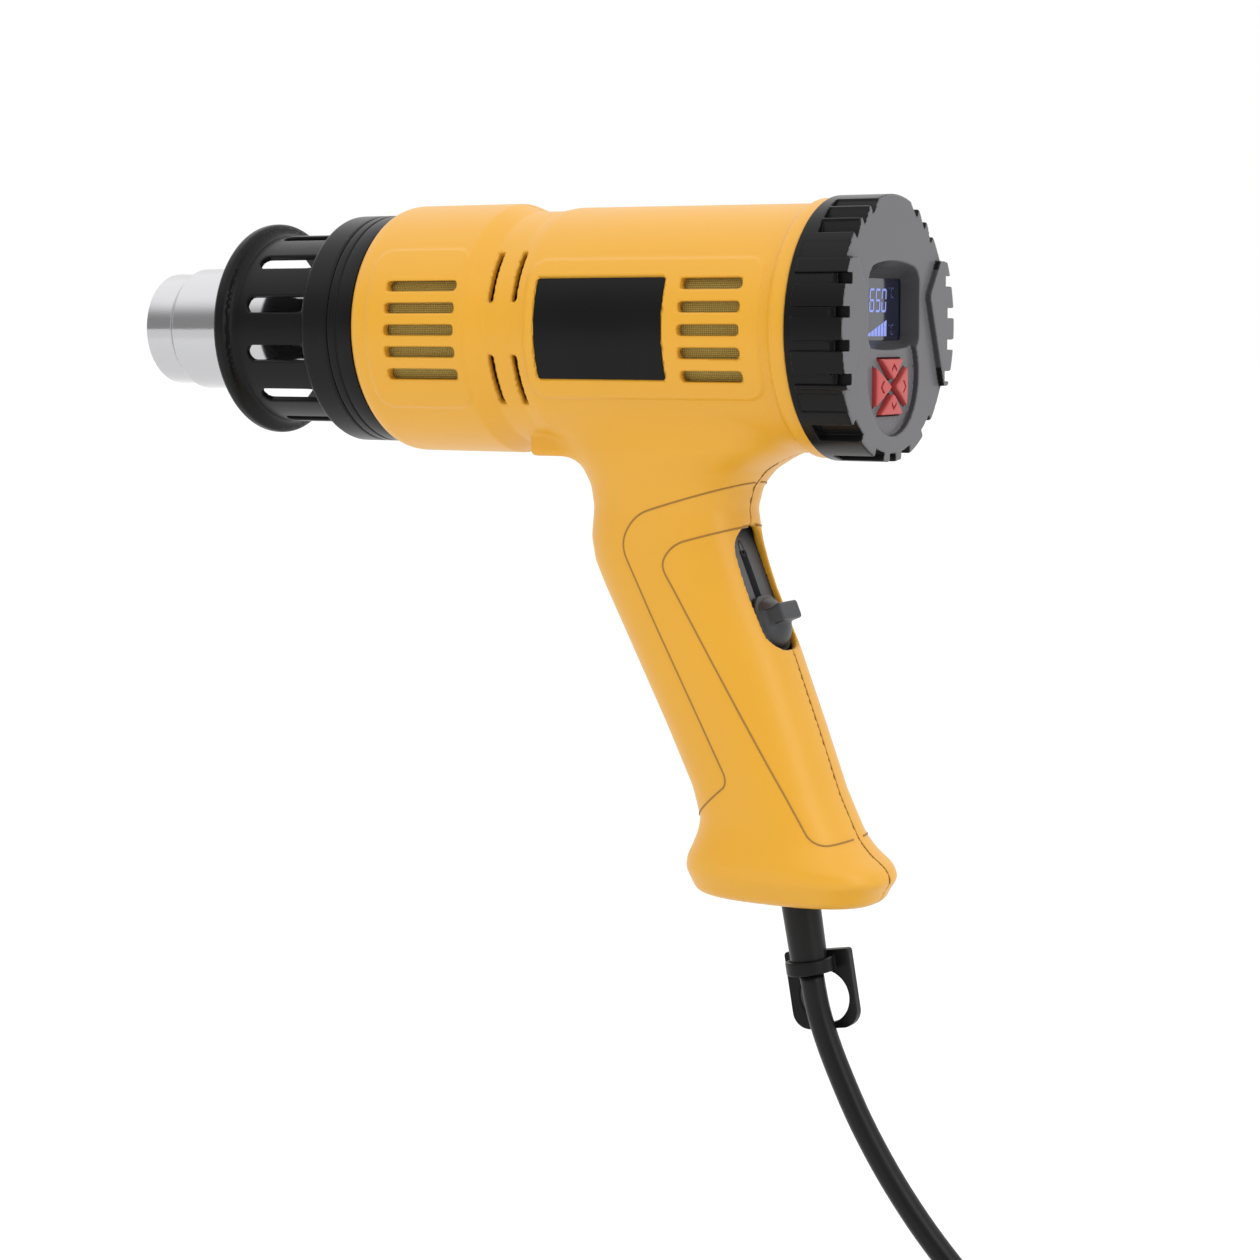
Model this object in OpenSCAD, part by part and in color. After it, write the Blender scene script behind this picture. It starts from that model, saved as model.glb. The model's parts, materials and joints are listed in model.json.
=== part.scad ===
// Pistol-grip hot air gun with a temperature display, built as separate pieces.
// The barrel runs along X with the nozzle towards -X, +Z is up, and the origin
// is in the middle of the grip.

/* [Barrel] */
// Height of the barrel axis above the middle of the grip
axis_z = 95; // [93:0.5:97]
// Outer radius of the front section
front_r = 37.2; // [37:0.1:37.6]
// Outer radius of the narrow waist
waist_r = 34.7; // [34.5:0.1:34.9]
// Outer radius of the rear section
rear_r = 35.6; // [35.4:0.1:35.8]
// Wall thickness of the plastic shells
shell_wall = 2.4; // [2.2:0.1:2.5]
// Number of cooling slots in each side group
vent_count = 5; // [4:1:5]
// Height of one cooling slot
vent_h = 2.9; // [2:0.1:3.2]

/* [Nozzle] */
// Outer radius of the nozzle tip that accessories push onto
tip_r = 17.5; // [17:0.1:17.6]
// Outer radius of the main steel tube
tube_r = 19.1; // [19:0.1:19.3]
// Number of slots round the heat guard
guard_slots = 12; // [8:1:12]
// Turns of the heater winding
coil_turns = 11; // [8:1:12]

/* [Grip] */
// Half width of the grip at its middle
grip_hw = 18.4; // [17.5:0.1:19]
// Travel of the power slide switch
switch_travel = 12; // [8:1:14]

/* [Rear panel] */
// Outer radius of the black rear cap
cap_r = 37.3; // [37:0.1:37.4]
// Travel of one push button
button_travel = 0.8; // [0.5:0.1:0.9]
// Number of blades on the fan
fan_blades = 9; // [5:1:11]

/* [Cord] */
// Radius of the mains cord
cord_r = 3.6; // [3.5:0.1:3.6]

/* [Hidden] */
$fn = 64;
eps = 0.01;

face_x = 55.2;       // main plane of the rear panel
cap_x0 = 39;         // where the cap meets the shells
tip_x = -198.4;      // front end of the nozzle
step_x = -187.5;     // where the nozzle steps up to the main tube
guard_x0 = -160;     // front of the heat guard
guard_x1 = -115.3;  // rear of the heat guard
shell_x0 = -106.5;   // front of the shells
vent_pitch = 6.4;
vent_z = axis_z - 0.4;
front_vent_x = [-92.4, -67.9];
rear_vent_x = [5.2, 24.6];
boot_tilt = 9.8;     // lean of the cord outlet
boot_x = 26.9;
boot_z = -69.2;
boot_len = 22.8;
floor_z = -217.8;

// ---------- helpers ----------
// solid of revolution about the barrel axis from [x, radius] pairs
module revx(pts, a = 360, a0 = 0) {
  translate([0, 0, axis_z]) rotate([0, 90, 0]) rotate([0, 0, a0])
    rotate_extrude(angle = a) polygon([for (p = pts) [p[1], p[0]]]);
}
// tube along X between x0 and x1
module tubex(x0, x1, ro, ri) {
  translate([x0, 0, axis_z]) rotate([0, 90, 0]) difference() {
    cylinder(r = ro, h = x1 - x0);
    translate([0, 0, -1]) cylinder(r = ri, h = x1 - x0 + 2);
  }
}
module rodx(x0, x1, r, y = 0, z = axis_z) {
  translate([x0, y, z]) rotate([0, 90, 0]) cylinder(r = r, h = x1 - x0);
}
// curved plate on one side of the barrel, half angle ha, side -1 is the left (-Y)
module side_plate(x0, x1, r0, r1, ha, side) {
  revx([[x0, r0], [x1, r0], [x1, r1], [x0, r1]], 2 * ha, (side < 0 ? -90 : 90) - ha);
}
module box(a, b) { translate(a) cube([b[0] - a[0], b[1] - a[1], b[2] - a[2]]); }

// ---------- grip loft ----------
// rings of the grip: [z, front x, back x, half width]
grip_rings = [
  [-69.6, 8, 38, 11.5], [-68.4, -1, 47.5, 15.5], [-65.6, -6.3, 53.8, 19.0], [-62, -7.9, 56.0, 20.4],
  [-58.5, -7.3, 54.4, 20.5], [-55, -5.4, 49.6, 20.0], [-51, -3.7, 46.0, 19.3], [-47, -2.9, 43.9, 18.8],
  [-38, -5.5, 39.6, 18.4], [-20, -14.4, 33.0, 18.3], [3, -26.5, 24.2, 18.3], [20, -35.4, 16.5, 18.4],
  [27, -38.6, 13.9, 18.6], [34, -39.8, 11.6, 18.9], [43, -38.6, 9.9, 19.6], [49.5, -39.4, 11.4, 21.0],
  [54.5, -42, 15.5, 22.8], [60, -47, 25, 24.6], [66, -51, 31, 25.2], [72, -51, 31, 25.0]];
ring_n = 28;
grip_pow = 2.4;
function sgn_pow(v, e) = (v < 0 ? -1 : 1) * pow(abs(v), e);
function ring_pts(r, in) = [for (i = [0 : ring_n - 1]) let (t = 360 * i / ring_n,
    a = (r[2] - r[1]) / 2 - in, b = (r[3] * grip_hw / 18.4) - in)
  [(r[1] + r[2]) / 2 + a * sgn_pow(cos(t), 2 / grip_pow), b * sgn_pow(sin(t), 2 / grip_pow), r[0]]];
module loft(rings, in) {
  m = len(rings);
  polyhedron(
    points = [for (r = rings) each ring_pts(r, in)],
    faces = concat([[for (i = [0 : ring_n - 1]) i]],
      [for (k = [0 : m - 2]) for (i = [0 : ring_n - 1]) let (j = (i + 1) % ring_n)
        each [[k * ring_n + i, (k + 1) * ring_n + i, (k + 1) * ring_n + j],
              [k * ring_n + i, (k + 1) * ring_n + j, k * ring_n + j]]],
      [[for (i = [0 : ring_n - 1]) (m - 1) * ring_n + ring_n - 1 - i]]));
}
inner_rings = concat([[-66.4, -1.5, 49, 15.6], [-62, -7.9, 56.0, 20.4]],
  [for (r = grip_rings) if (r[0] > -60 && r[0] < 61) r], [[74, -51, 31, 23]]);

// ---------- switch frame: x out of the grip's back, z up along the slot ----------
switch_tilt = 22.2;
module at_switch() { translate([16.3, 0, 20.5]) rotate([0, -switch_tilt, 0]) children(); }
// rounded slot shape, depth x0..x1
module slot(x0, x1, hw, hl, r) {
  box([x0, -hw, -hl + r], [x1, hw, hl - r]);
  box([x0, -hw + r, -hl], [x1, hw - r, hl]);
  for (y = [-1, 1], z = [-1, 1])
    translate([x0, y * (hw - r), z * (hl - r)]) rotate([0, 90, 0]) cylinder(r = r, h = x1 - x0, $fn = 32);
}

// ---------- shells ----------
module vent_cuts(xr, r) {
  for (i = [0 : vent_count - 1]) translate([xr[0], -50, vent_z + (i - (vent_count - 1) / 2) * vent_pitch - vent_h / 2])
    cube([xr[1] - xr[0], 100, vent_h]);
}
screw_pos = [[-23, 44], [1, -14], [10, -58], [-53.5, axis_z + 27.5], [-53.5, axis_z - 27.5], [29.4, axis_z + 28]];
module screw_boss(p, r) { translate([p[0], -30, p[1]]) rotate([-90, 0, 0]) cylinder(r = r, h = 60, $fn = 32); }

module shell_body() {
  difference() {
    union() {
      revx([[shell_x0, 0], [shell_x0, 33.6], [-105.6, 35.3], [-104, 36.5], [-101, front_r], [-65.5, front_r],
            [-59, waist_r], [-50.5, waist_r], [-45, rear_r], [33.2, 35.2], [34.2, 36.6], [cap_x0, 36.6], [cap_x0, 0]]);
      side_plate(-98, -66, 30, front_r + 0.6, 37, -1);
      side_plate(-98, -66, 30, front_r + 0.6, 37, 1);
      side_plate(-44, 30, 30, rear_r + 0.7, 33, -1);
      side_plate(-44, 30, 30, rear_r + 0.7, 33, 1);
      loft(grip_rings, 0);
      box([-55.3, -16, 57.6], [-30, 16, 75]);
    }
    // barrel cavity
    revx([[-120, 0], [-120, 31.2], [-101.2, 31.2], [-101.2, 34.7], [-66, 34.7], [-60, 32.2], [-49.5, 32.2],
          [-44, 33.05], [60, 33.05], [60, 0]]);
    loft(inner_rings, 2.6);
    // label pockets
    side_plate(-41.8, 0.4, rear_r - 0.2, 40, 23.8, -1);
    side_plate(-41.8, 0.4, rear_r - 0.2, 40, 23.8, 1);
    vent_cuts(front_vent_x);
    vent_cuts(rear_vent_x);
    // waist slots
    for (x = [-57.2, -49.4], s = [-1, 1], a = [-1, 1])
      revx([[x - 0.9, 28], [x + 0.9, 28], [x + 0.9, 40], [x - 0.9, 40]], 26, s * 90 - 13 + a * 26);
    at_switch() { slot(-20, 12, 9, 19, 7); box([-22, -10, -20.6], [-4.2, 10, 20.6]); }
    // cord outlet
    translate([boot_x, 0, boot_z]) rotate([0, 180 - boot_tilt, 0]) translate([0, 0, -12]) cylinder(r = 5.75, h = 16, $fn = 48);
  }
}
clamp_x = [18, 32.4];
module bosses() {
  difference() {
    intersection() {
      union() {
        for (p = screw_pos) screw_boss(p, 4.2);
        for (x = clamp_x) translate([x, -30, -56]) rotate([-90, 0, 0]) cylinder(r = 3, h = 22.9, $fn = 32);
      }
      union() {
        revx([[-62, 0], [-62, 34.5], [-50, 33.5], [-45, 34.5], [33, 34.5], [33, 0]]);
        loft(grip_rings, 1);
      }
    }
    // keep the bosses clear of the duct and motor
    revx([[-70, 0], [-70, 23.6], [60, 23.6], [60, 0]]);
  }
}
module left_shell() {
  color("goldenrod") difference() {
    intersection() { union() { shell_body(); bosses(); } box([-130, -60, -90], [60, 0, 150]); }
    for (p = screw_pos) translate([p[0], -11, p[1]]) rotate([-90, 0, 0]) cylinder(r = 1.25, h = 12, $fn = 24);
    for (x = clamp_x) translate([x, -14, -56]) rotate([-90, 0, 0]) cylinder(r = 1.4, h = 12, $fn = 24);
  }
}
module right_shell() {
  color("goldenrod") difference() {
    intersection() { union() { shell_body(); bosses(); } box([-130, 0, -90], [60, 60, 150]); }
    for (p = screw_pos) translate([p[0], -1, p[1]]) rotate([-90, 0, 0]) { cylinder(r = 1.6, h = 40, $fn = 24); translate([0, 0, 8.8]) cylinder(r = 3.1, h = 40, $fn = 32); }
  }
}

// ---------- rear cap ----------
btn_z = 78.8;
// outline of one button seen from behind, k = 0 up, 1 left, 2 down, 3 right
module button_outline(k, g) {
  p = k == 0 ? [[-0.5 - g * 0.5, 2.2 - g], [0.5 + g * 0.5, 2.2 - g], [7.5 + g * 2, 7.8 + g], [-7.5 - g * 2, 7.8 + g]]
    : k == 2 ? [[-0.5 - g * 0.5, -2.2 + g], [-7.5 - g * 2, -7.8 - g], [7.5 + g * 2, -7.8 - g], [0.5 + g * 0.5, -2.2 + g]]
    : k == 1 ? [[-1.9 + g, 0.4 + g * 0.5], [-10.3 - g, 5.5 + g * 1.5], [-10.3 - g, -5.5 - g * 1.5], [-1.9 + g, -0.4 - g * 0.5]]
    : [[1.9 - g, 0.4 + g * 0.5], [1.9 - g, -0.4 - g * 0.5], [10.3 + g, -5.5 - g * 1.5], [10.3 + g, 5.5 + g * 1.5]];
  polygon(p);
}
// place a shape drawn in (y, z) of the rear panel, extruded from x0 to x1
module on_panel(x0, x1) { translate([x0, 0, btn_z]) rotate([90, 0, 90]) linear_extrude(x1 - x0) children(); }

module rear_cap() {
  color("#26282a") difference() {
    union() {
      difference() {
        revx([[33.2, 0], [33.2, 33.0], [cap_x0, 33.0], [cap_x0, cap_r], [53.6, cap_r], [face_x, 35.9], [face_x, 0]]);
        // pocket behind the panel
        revx([[30, 0], [30, 30.6], [51, 30.6], [51, 0]]);
        // stepped grooves at the top and bottom
        for (s = [0, 180], k = [0 : 3], t = [-1, 1]) translate([44, 0, axis_z])
          rotate([t * (18 + k * 7.5) + s, 0, 0]) translate([0, -1.6, 35.3]) cube([20, 3.2, 6]);
      }
      // frame that holds the window
      box([48.6, -18, 90], [51.2, 18, 110.8]);
      // raised toothed blocks on both sides
      for (s = [-1, 1]) intersection() {
        revx([[41, 0], [41, 37.9], [57, 37.9], [57, 0]]);
        translate([41, 0, axis_z]) rotate([90, 0, 90]) linear_extrude(16)
          polygon([[s * 26.6, 19.3], [s * 34.2, 19.3], [s * 40, 10], [s * 40, -10], [s * 37, -17], [s * 29.6, -17], [s * 24, 0], [s * 20.6, 8.2], [s * 20.6, 10]]);
      }
    }
    // recess of the display, scoop round the buttons
    box([40, -16.7, 91.5], [49.5, 16.7, 109.3]);
    box([40, -15.6, 92], [60, 15.6, 108.8]);
    box([52, -16.8, 91.4], [60, 16.8, 109.4]);
    rodx(53.4, 60, 15.5, 0, 81);
    // notches in the side blocks
    for (s = [-1, 1], k = [0 : 3]) box([40, s > 0 ? 34.2 : -41, axis_z + 13.6 - k * 9.1 - 1.55], [60, s > 0 ? 41 : -34.2, axis_z + 13.6 - k * 9.1 + 1.55]);
    for (k = [0 : 3]) on_panel(40, 60) button_outline(k, 0.3);
  }
}
module one_button(k) {
  color("firebrick") { on_panel(50.0, 55.4) button_outline(k, 0); on_panel(50.0, 50.95) button_outline(k, 0.45); }
}
module button_up() { one_button(0); }
module button_left() { one_button(1); }
module button_down() { one_button(2); }
module button_right() { one_button(3); }
module button_pad() { color("dimgray") box([48.4, -14.5, 70.2], [49.1, 14.5, 87.4]); }
module lcd_window() { color("slategray") box([48.6, -16.6, 91.6], [49.5, 16.6, 109.2]); }
module lcd_module() { color("lightslategray") box([45.4, -17, 90.8], [48.6, 17, 110]); }
module display_board() {
  color("seagreen") difference() {
    intersection() { box([43.8, -20, 67.5], [45.4, 20, 114.5]); rodx(40, 50, 30.2); }
    for (y = [-17.6, 17.6], z = [74.2, 112]) rodx(40, 50, 1.3, y, z);
  }
  // tactile switches under the pad
  color("silver") for (p = [[0, 4.8], [0, -4.8], [-8, 0], [8, 0]])
    box([45.4, p[0] - 1.9, btn_z + p[1] - 1.9], [48.4, p[0] + 1.9, btn_z + p[1] + 1.9]);
}

// ---------- nozzle, guard and heater ----------
module guard_collar() {
  color("#202224") revx([[-115.3, 24], [-115.3, 34.2], [-114.9, 34.6], [shell_x0, 34.6], [shell_x0, 31.1],
    [-101.1, 31.1], [-101.1, 34.5], [-98.5, 34.5], [-98.5, 24]]);
}
module heat_guard() {
  color("#202224") difference() {
    revx([[guard_x0, 27.1], [guard_x0, 31.4], [-159.4, 32.4], [-158.4, 32.8], [-156.6, 32.8], [-155.6, 31.8],
      [-155.6, 30.6], [-154, 29.1], [-127.2, 29.1], [-125.4, 33.6], [-124.2, 34.6], [-115.75, 34.6], [guard_x1, 34.2],
      [guard_x1, 27.1]]);
    for (i = [0 : guard_slots - 1]) translate([-150.4, 0, axis_z]) rotate([15 + 360 * i / guard_slots, 0, 0]) {
      translate([2.4, -2.4, 20]) cube([15.6, 4.8, 12]);
      translate([2.4, 0, 20]) cylinder(r = 2.4, h = 12, $fn = 24);
      translate([18, 0, 20]) cylinder(r = 2.4, h = 12, $fn = 24);
    }
  }
}
module nozzle_tube() {
  color("silver") revx([[tip_x, tip_r - 0.8], [tip_x, tip_r], [step_x - 0.8, tip_r], [step_x, tube_r], [-98.5, tube_r],
    [-98.5, 30], [-97.5, 30], [-97.5, tube_r - 0.8], [step_x + 0.8, tube_r - 0.8], [step_x, tip_r - 0.8]]);
}
module mica_tube() { color("tan") tubex(-184, -57, 18.2, 17.5); }
module heater_cross() {
  color("burlywood") for (a = [45, 135]) translate([-179.5, 0, axis_z]) rotate([a, 0, 0]) difference() {
    translate([0, -17.3, -0.4]) cube([122.5, 34.6, 0.8]);
    for (k = [0 : 4]) translate([14 + k * 24, -1.6, -1]) cube([6, 3.2, 2]);
  }
}
hx = [-176, -70];
hp = (hx[1] - hx[0]) / coil_turns;
hseg = 16;
hside = 6;
hn = coil_turns * hseg;
module heater_coil() {
  color("dimgray") polyhedron(
    points = [for (i = [0 : hn]) let (t = 360 * i / hseg, x = hx[0] + hp * i / hseg) for (j = [0 : hside - 1])
      let (q = 360 * j / hside, r = 13.4 + 0.7 * cos(q)) [x + 0.7 * sin(q), r * cos(t), axis_z + r * sin(t)]],
    faces = concat([[for (j = [0 : hside - 1]) hside - 1 - j]],
      [for (i = [0 : hn - 1]) for (j = [0 : hside - 1]) let (k = (j + 1) % hside)
        each [[i * hside + j, i * hside + k, (i + 1) * hside + k], [i * hside + j, (i + 1) * hside + k, (i + 1) * hside + j]]],
      [[for (j = [0 : hside - 1]) hn * hside + j]]));
}
module ceramic_outlet() {
  color("linen") difference() {
    rodx(-183, -179.6, 17.4);
    for (a = [0 : 5]) translate([-190, 0, axis_z]) rotate([a * 60, 0, 0]) translate([0, 0, 11.3]) rotate([0, 90, 0]) cylinder(r = 4, h = 20, $fn = 32);
    rodx(-190, -170, 4.2);
  }
}
module heater_base() {
  color("tan") difference() {
    tubex(-57, -55.2, 31.9, 16.5);
    for (z = [-27.5, 27.5]) translate([-53.5, -40, axis_z + z]) rotate([-90, 0, 0]) cylinder(r = 4.4, h = 80, $fn = 32);
  }
}
module thermal_cutout() { color("gainsboro") box([-80, -10.6, axis_z - 2.2], [-68, -3.8, axis_z + 2.2]); }
module thermocouple() { color("gray") rodx(-178.4, -60, 0.8, 6, axis_z); }

// ---------- fan and motor ----------
module fan_housing() {
  color("#30343a") union() {
    revx([[-55.2, 17], [-55.2, 22.4], [-49.4, 22.8], [-41, 31.2], [-12, 31.2], [-12, 32.9], [-9.5, 32.9], [-9.5, 28.4],
      [-40, 28.4], [-48.4, 20], [-53, 18.4], [-54, 17]]);
    // motor cradle and its spokes
    tubex(-13, -1, 16.2, 13.95);
    for (a = [0 : 3]) translate([-12, 0, axis_z]) rotate([a * 90 + 45, 0, 0]) translate([0, -1.5, 15.2]) cube([2.4, 3, 15]);
  }
}
module fan_wheel() {
  color("ivory") difference() {
    union() {
      revx([[-35, 0], [-35, 6.5], [-31, 9.5], [-17, 9.5], [-17, 0]]);
      for (i = [0 : fan_blades - 1]) translate([-26, 0, axis_z]) rotate([360 * i / fan_blades, 0, 0])
        rotate([0, 0, 38]) translate([-7.4, -0.6, 8.6]) cube([14.8, 1.2, 18.4]);
    }
    rodx(-40, -10, 1.585);
  }
}
module motor_shaft() { color("silver") rodx(-34, 27.4, 1.585); }
module motor_rotor() {
  color("peru") difference() {
    union() { rodx(-3, 13, 9.2); rodx(13, 15, 5.2); rodx(15, 20.4, 3.6); }
    rodx(-10, 30, 1.585);
  }
}
module motor_can() {
  color("silver") difference() {
    rodx(-12.9, 22, 13.9);
    rodx(-11.9, 30, 13.0);
    rodx(-20, 0, 4.0);
    for (a = [0 : 3]) translate([-20, 0, axis_z]) rotate([a * 90, 0, 0]) translate([0, 0, 8.6]) rotate([0, 90, 0]) cylinder(r = 2, h = 10, $fn = 24);
  }
}
module motor_magnets() {
  color("#444444") for (s = [-1, 1]) side_plate(-7, 15, 9.9, 13.0, 58, s);
}
module motor_end_cap() {
  color("#2f2f33") difference() {
    union() { rodx(22, 25, 13.9); rodx(19.6, 22, 12.95); }
    rodx(18, 23, 9.6);
    rodx(18, 30, 4.0);
  }
}
module motor_bushings() {
  color("darkgoldenrod") { tubex(-12.9, -9.6, 4.0, 1.625); tubex(22.4, 26, 4.0, 1.625); }
}
module motor_brushes() {
  color("#333333") for (s = [-1, 1]) translate([16.2, s > 0 ? 3.7 : -9.5, axis_z - 1.6]) cube([3, 5.8, 3.2]);
}
module control_board() {
  color("seagreen") difference() {
    box([28.4, -24, axis_z - 19], [30, 24, axis_z + 19]);
    rodx(20, 40, 2.6);
  }
}
module heat_sink() {
  color("silver") { box([30, -22, axis_z - 16], [31.4, -4, axis_z - 4]); for (i = [0 : 4]) box([31.4, -22 + i * 4.1, axis_z - 16], [40, -20.4 + i * 4.1, axis_z - 4]); }
}
module capacitor() { color("gold") { box([30, 4, axis_z - 15], [37, 20, axis_z - 5]); rodx(30, 42, 4, 12, axis_z + 9); } }

// ---------- switch ----------
module switch_plate() {
  color("#3a3c40") at_switch() difference() {
    box([-5.7, -9.8, -20.4], [-4.2, 9.8, 20.4]);
    box([-8, -2, -15], [0, 2, 13]);
  }
}
module switch_slider() {
  color("#2a2c2f") at_switch() {
    slot2(-4.1, -2.4, 8.4, -18.5, -1.5, 6.4);
    translate([-2.4 - 4.6, 0, -10]) rotate([0, 90, 0]) intersection() { translate([0, 0, 4.6]) cylinder(r = 7.9, h = 4); sphere(r = 9.2); }
    box([-4.05, -6, -11], [4.3, 6, -5.2]);
    box([-7.6, -1.7, -12], [-4.0, 1.7, -8]);
  }
}
// rounded plate from z0 to z1
module slot2(x0, x1, hw, z0, z1, r) { translate([0, 0, (z0 + z1) / 2]) slot(x0, x1, hw, (z1 - z0) / 2, r); }
module switch_body() {
  color("#1d1d1f") at_switch() difference() {
    box([-18, -7.5, -17], [-5.7, 7.5, 17]);
    box([-8.2, -2, -15], [-5, 2, 13]);
  }
  color("silver") at_switch() for (z = [-12, 0, 12]) box([-23, -2.4, z - 0.4], [-18, 2.4, z + 0.4]);
}

// ---------- vents, labels, fasteners ----------
module vent_screens(s) {
  color("olive") { side_plate(-97, -66.6, 34.1, 34.65, 31, s); side_plate(2, 27.8, 32.4, 33.0, 31, s); }
}
module vent_screens_left() { vent_screens(-1); }
module vent_screens_right() { vent_screens(1); }
module label_plate_left() { color("#101012") side_plate(-41.5, 0.1, rear_r - 0.2, rear_r + 0.2, 23.5, -1); }
module label_plate_right() { color("#101012") side_plate(-41.5, 0.1, rear_r - 0.2, rear_r + 0.2, 23.5, 1); }
module shell_screws() {
  color("silver") for (p = screw_pos) translate([p[0], 0, p[1]]) rotate([-90, 0, 0]) difference() {
    union() { translate([0, 0, -10]) cylinder(r = 1.25, h = 18.9, $fn = 24); translate([0, 0, 8.8]) cylinder(r = 2.8, h = 1.8, $fn = 32); }
    translate([-1.6, -0.3, 9.8]) cube([3.2, 0.6, 2]);
    translate([-0.3, -1.6, 9.8]) cube([0.6, 3.2, 2]);
  }
}
module cord_clamp() {
  color("#222222") for (q = [-1, 1]) difference() {
    box([15.6, q > 0 ? 0.6 : -7, -60], [35, q > 0 ? 7 : -0.6, -52]);
    at_boot() translate([0, 0, -40]) cylinder(r = cord_r, h = 60, $fn = 48);
    for (x = clamp_x) translate([x, -20, -56]) rotate([-90, 0, 0]) cylinder(r = 1.4, h = 40, $fn = 24);
  }
}
module clamp_screws() {
  color("silver") for (x = clamp_x) translate([x, -13, -56]) rotate([-90, 0, 0]) {
    cylinder(r = 1.4, h = 20, $fn = 24);
    translate([0, 0, 20]) cylinder(r = 2.6, h = 1.6, $fn = 32);
  }
}
// two mains leads inside the grip
module inner_leads() {
  for (s = [-1, 1]) color(s < 0 ? "royalblue" : "saddlebrown")
    translate([22.4, s * 1.8, -43.8]) rotate([0, -22, 0]) cylinder(r = 1.2, h = 38, $fn = 24);
}
// the end of the cord held inside the boot and the clamp
module inner_cord() { color("#151515") at_boot() translate([0, 0, -26]) cylinder(r = cord_r, h = 36.9, $fn = 48); }

// ---------- cord ----------
module at_boot() { translate([boot_x, 0, boot_z]) rotate([0, 180 - boot_tilt, 0]) children(); }
module cord_boot() {
  color("#1a1a1b") at_boot() difference() {
    union() {
      translate([0, 0, -5]) cylinder(r = 5.65, h = boot_len + 5, $fn = 48);
      translate([0, 0, -7.8]) cylinder(r = 7.6, h = 2.8, $fn = 48);
    }
    translate([0, 0, -10]) cylinder(r = cord_r, h = 60, $fn = 48);
  }
}
// hanging ring that swivels on the end of the boot
module hang_loop() {
  color("#1a1a1b") at_boot() difference() {
    union() {
      translate([0, 0, boot_len - 4.2]) cylinder(r = 7.1, h = 4, $fn = 48);
      // plate on the far side of the cord; local x points forwards
      translate([0, 4.3, boot_len - 4.2]) {
        box([-10.6, 0, -1.6], [10.4, 3.5, 16.2]);
        box([-5.2, 0, 16], [5.0, 3.5, 21.8]);
        for (x = [-5.1, 4.9]) translate([x, 0, 16.2]) rotate([-90, 0, 0]) cylinder(r = 5.5, h = 3.5, $fn = 40);
      }
    }
    translate([0, 0, boot_len - 6]) cylinder(r = 5.7, h = 6.4, $fn = 48);
    translate([-0.9, 0, boot_len + 7.9]) rotate([-90, 0, 0]) cylinder(r = 7.9, h = 20, $fn = 64);
  }
}
coil_c = [112, -39];
coil_r = [28.8, 50.4];
turn_r = 46.8;
plug_x = 103;
plug_y = 24.3;
// route of the free cord from the boot to the coil
function on_turn(a, z) = [coil_c[0] + turn_r * cos(a), coil_c[1] + turn_r * sin(a), z];
cord_pts = [[28.84, 0, -80.42], [30.9, 0, -92], [33.1, 0, -102], [36.4, 0, -111.5], [41, 0, -121.8], [47.4, 0, -134.2],
  [56, 0, -147.8], [65.6, 0, -160.4], [75, 1, -171.6], [84, 2.6, -181.4], [93, 4.6, -190], [102.5, 6.6, -197.4],
  on_turn(90, -202.2), on_turn(78, -204.9), on_turn(66, -206.1), on_turn(54, -206.2)];
// from the outer turn round to the plug
tail_pts = concat([on_turn(172, -213.4), on_turn(165, -213.4)],
  [[70.7, -12.4, -213.4]], [for (a = [165 : -12.5 : 90]) [103.5 + 30 * cos(a), -5.7 + 30 * sin(a), -213.4 + 2.6 * (165 - a) / 75]],
  [[104.2, plug_y, -210.8]]);
module sweep(pts, r, n = 10) {
  m = len(pts);
  function tan_at(i) = let (a = pts[max(i - 1, 0)], b = pts[min(i + 1, m - 1)], d = b - a) d / norm(d);
  polyhedron(
    points = [for (i = [0 : m - 1]) let (t = tan_at(i), u = [-t[2], 0, t[0]] / norm([-t[2], 0, t[0]]), v = cross(t, u))
      for (j = [0 : n - 1]) pts[i] + r * cos(360 * j / n) * u + r * sin(360 * j / n) * v],
    faces = concat([[for (j = [0 : n - 1]) j]],
      [for (i = [0 : m - 2]) for (j = [0 : n - 1]) let (k = (j + 1) % n)
        each [[i * n + k, i * n + j, (i + 1) * n + j], [i * n + k, (i + 1) * n + j, (i + 1) * n + k]]],
      [[for (j = [0 : n - 1]) (m - 1) * n + n - 1 - j]]));
}
module coil_solid() {
  translate([coil_c[0], coil_c[1], floor_z + 0.8]) rotate_extrude() translate([coil_r[0], 0]) square([coil_r[1] - coil_r[0], 14.4]);
}
module cord_tube() { color("#151515") sweep(cord_pts, cord_r, 12); }
module cord_tail() { color("#151515") sweep(tail_pts, cord_r, 12); }
module cord_coil() { color("#151515") coil_solid(); }
module cord_tie() {
  color("#2b2b2b") difference() {
    box([coil_c[0] - coil_r[1] - 0.8, coil_c[1] - 4, floor_z], [coil_c[0] - coil_r[0] + 1.2, coil_c[1] + 4, floor_z + 16]);
    coil_solid();
  }
}
module plug_body() {
  color("#151515") difference() {
    union() {
      box([plug_x + 13, plug_y - 12, floor_z], [plug_x + 39, plug_y + 12, floor_z + 14]);
      translate([plug_x, plug_y, floor_z + 7]) rotate([0, 90, 0]) cylinder(r1 = 4.4, r2 = 6.2, h = 14, $fn = 40);
    }
    translate([plug_x - 11, plug_y, floor_z + 7]) rotate([0, 90, 0]) cylinder(r = cord_r, h = 12.2, $fn = 40);
  }
}
module plug_blades() {
  color("silver") for (s = [-1, 1])
    box([plug_x + 39, plug_y + s * 6.35 - 0.75, floor_z + 3.8], [plug_x + 56, plug_y + s * 6.35 + 0.75, floor_z + 10.2]);
}

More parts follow.
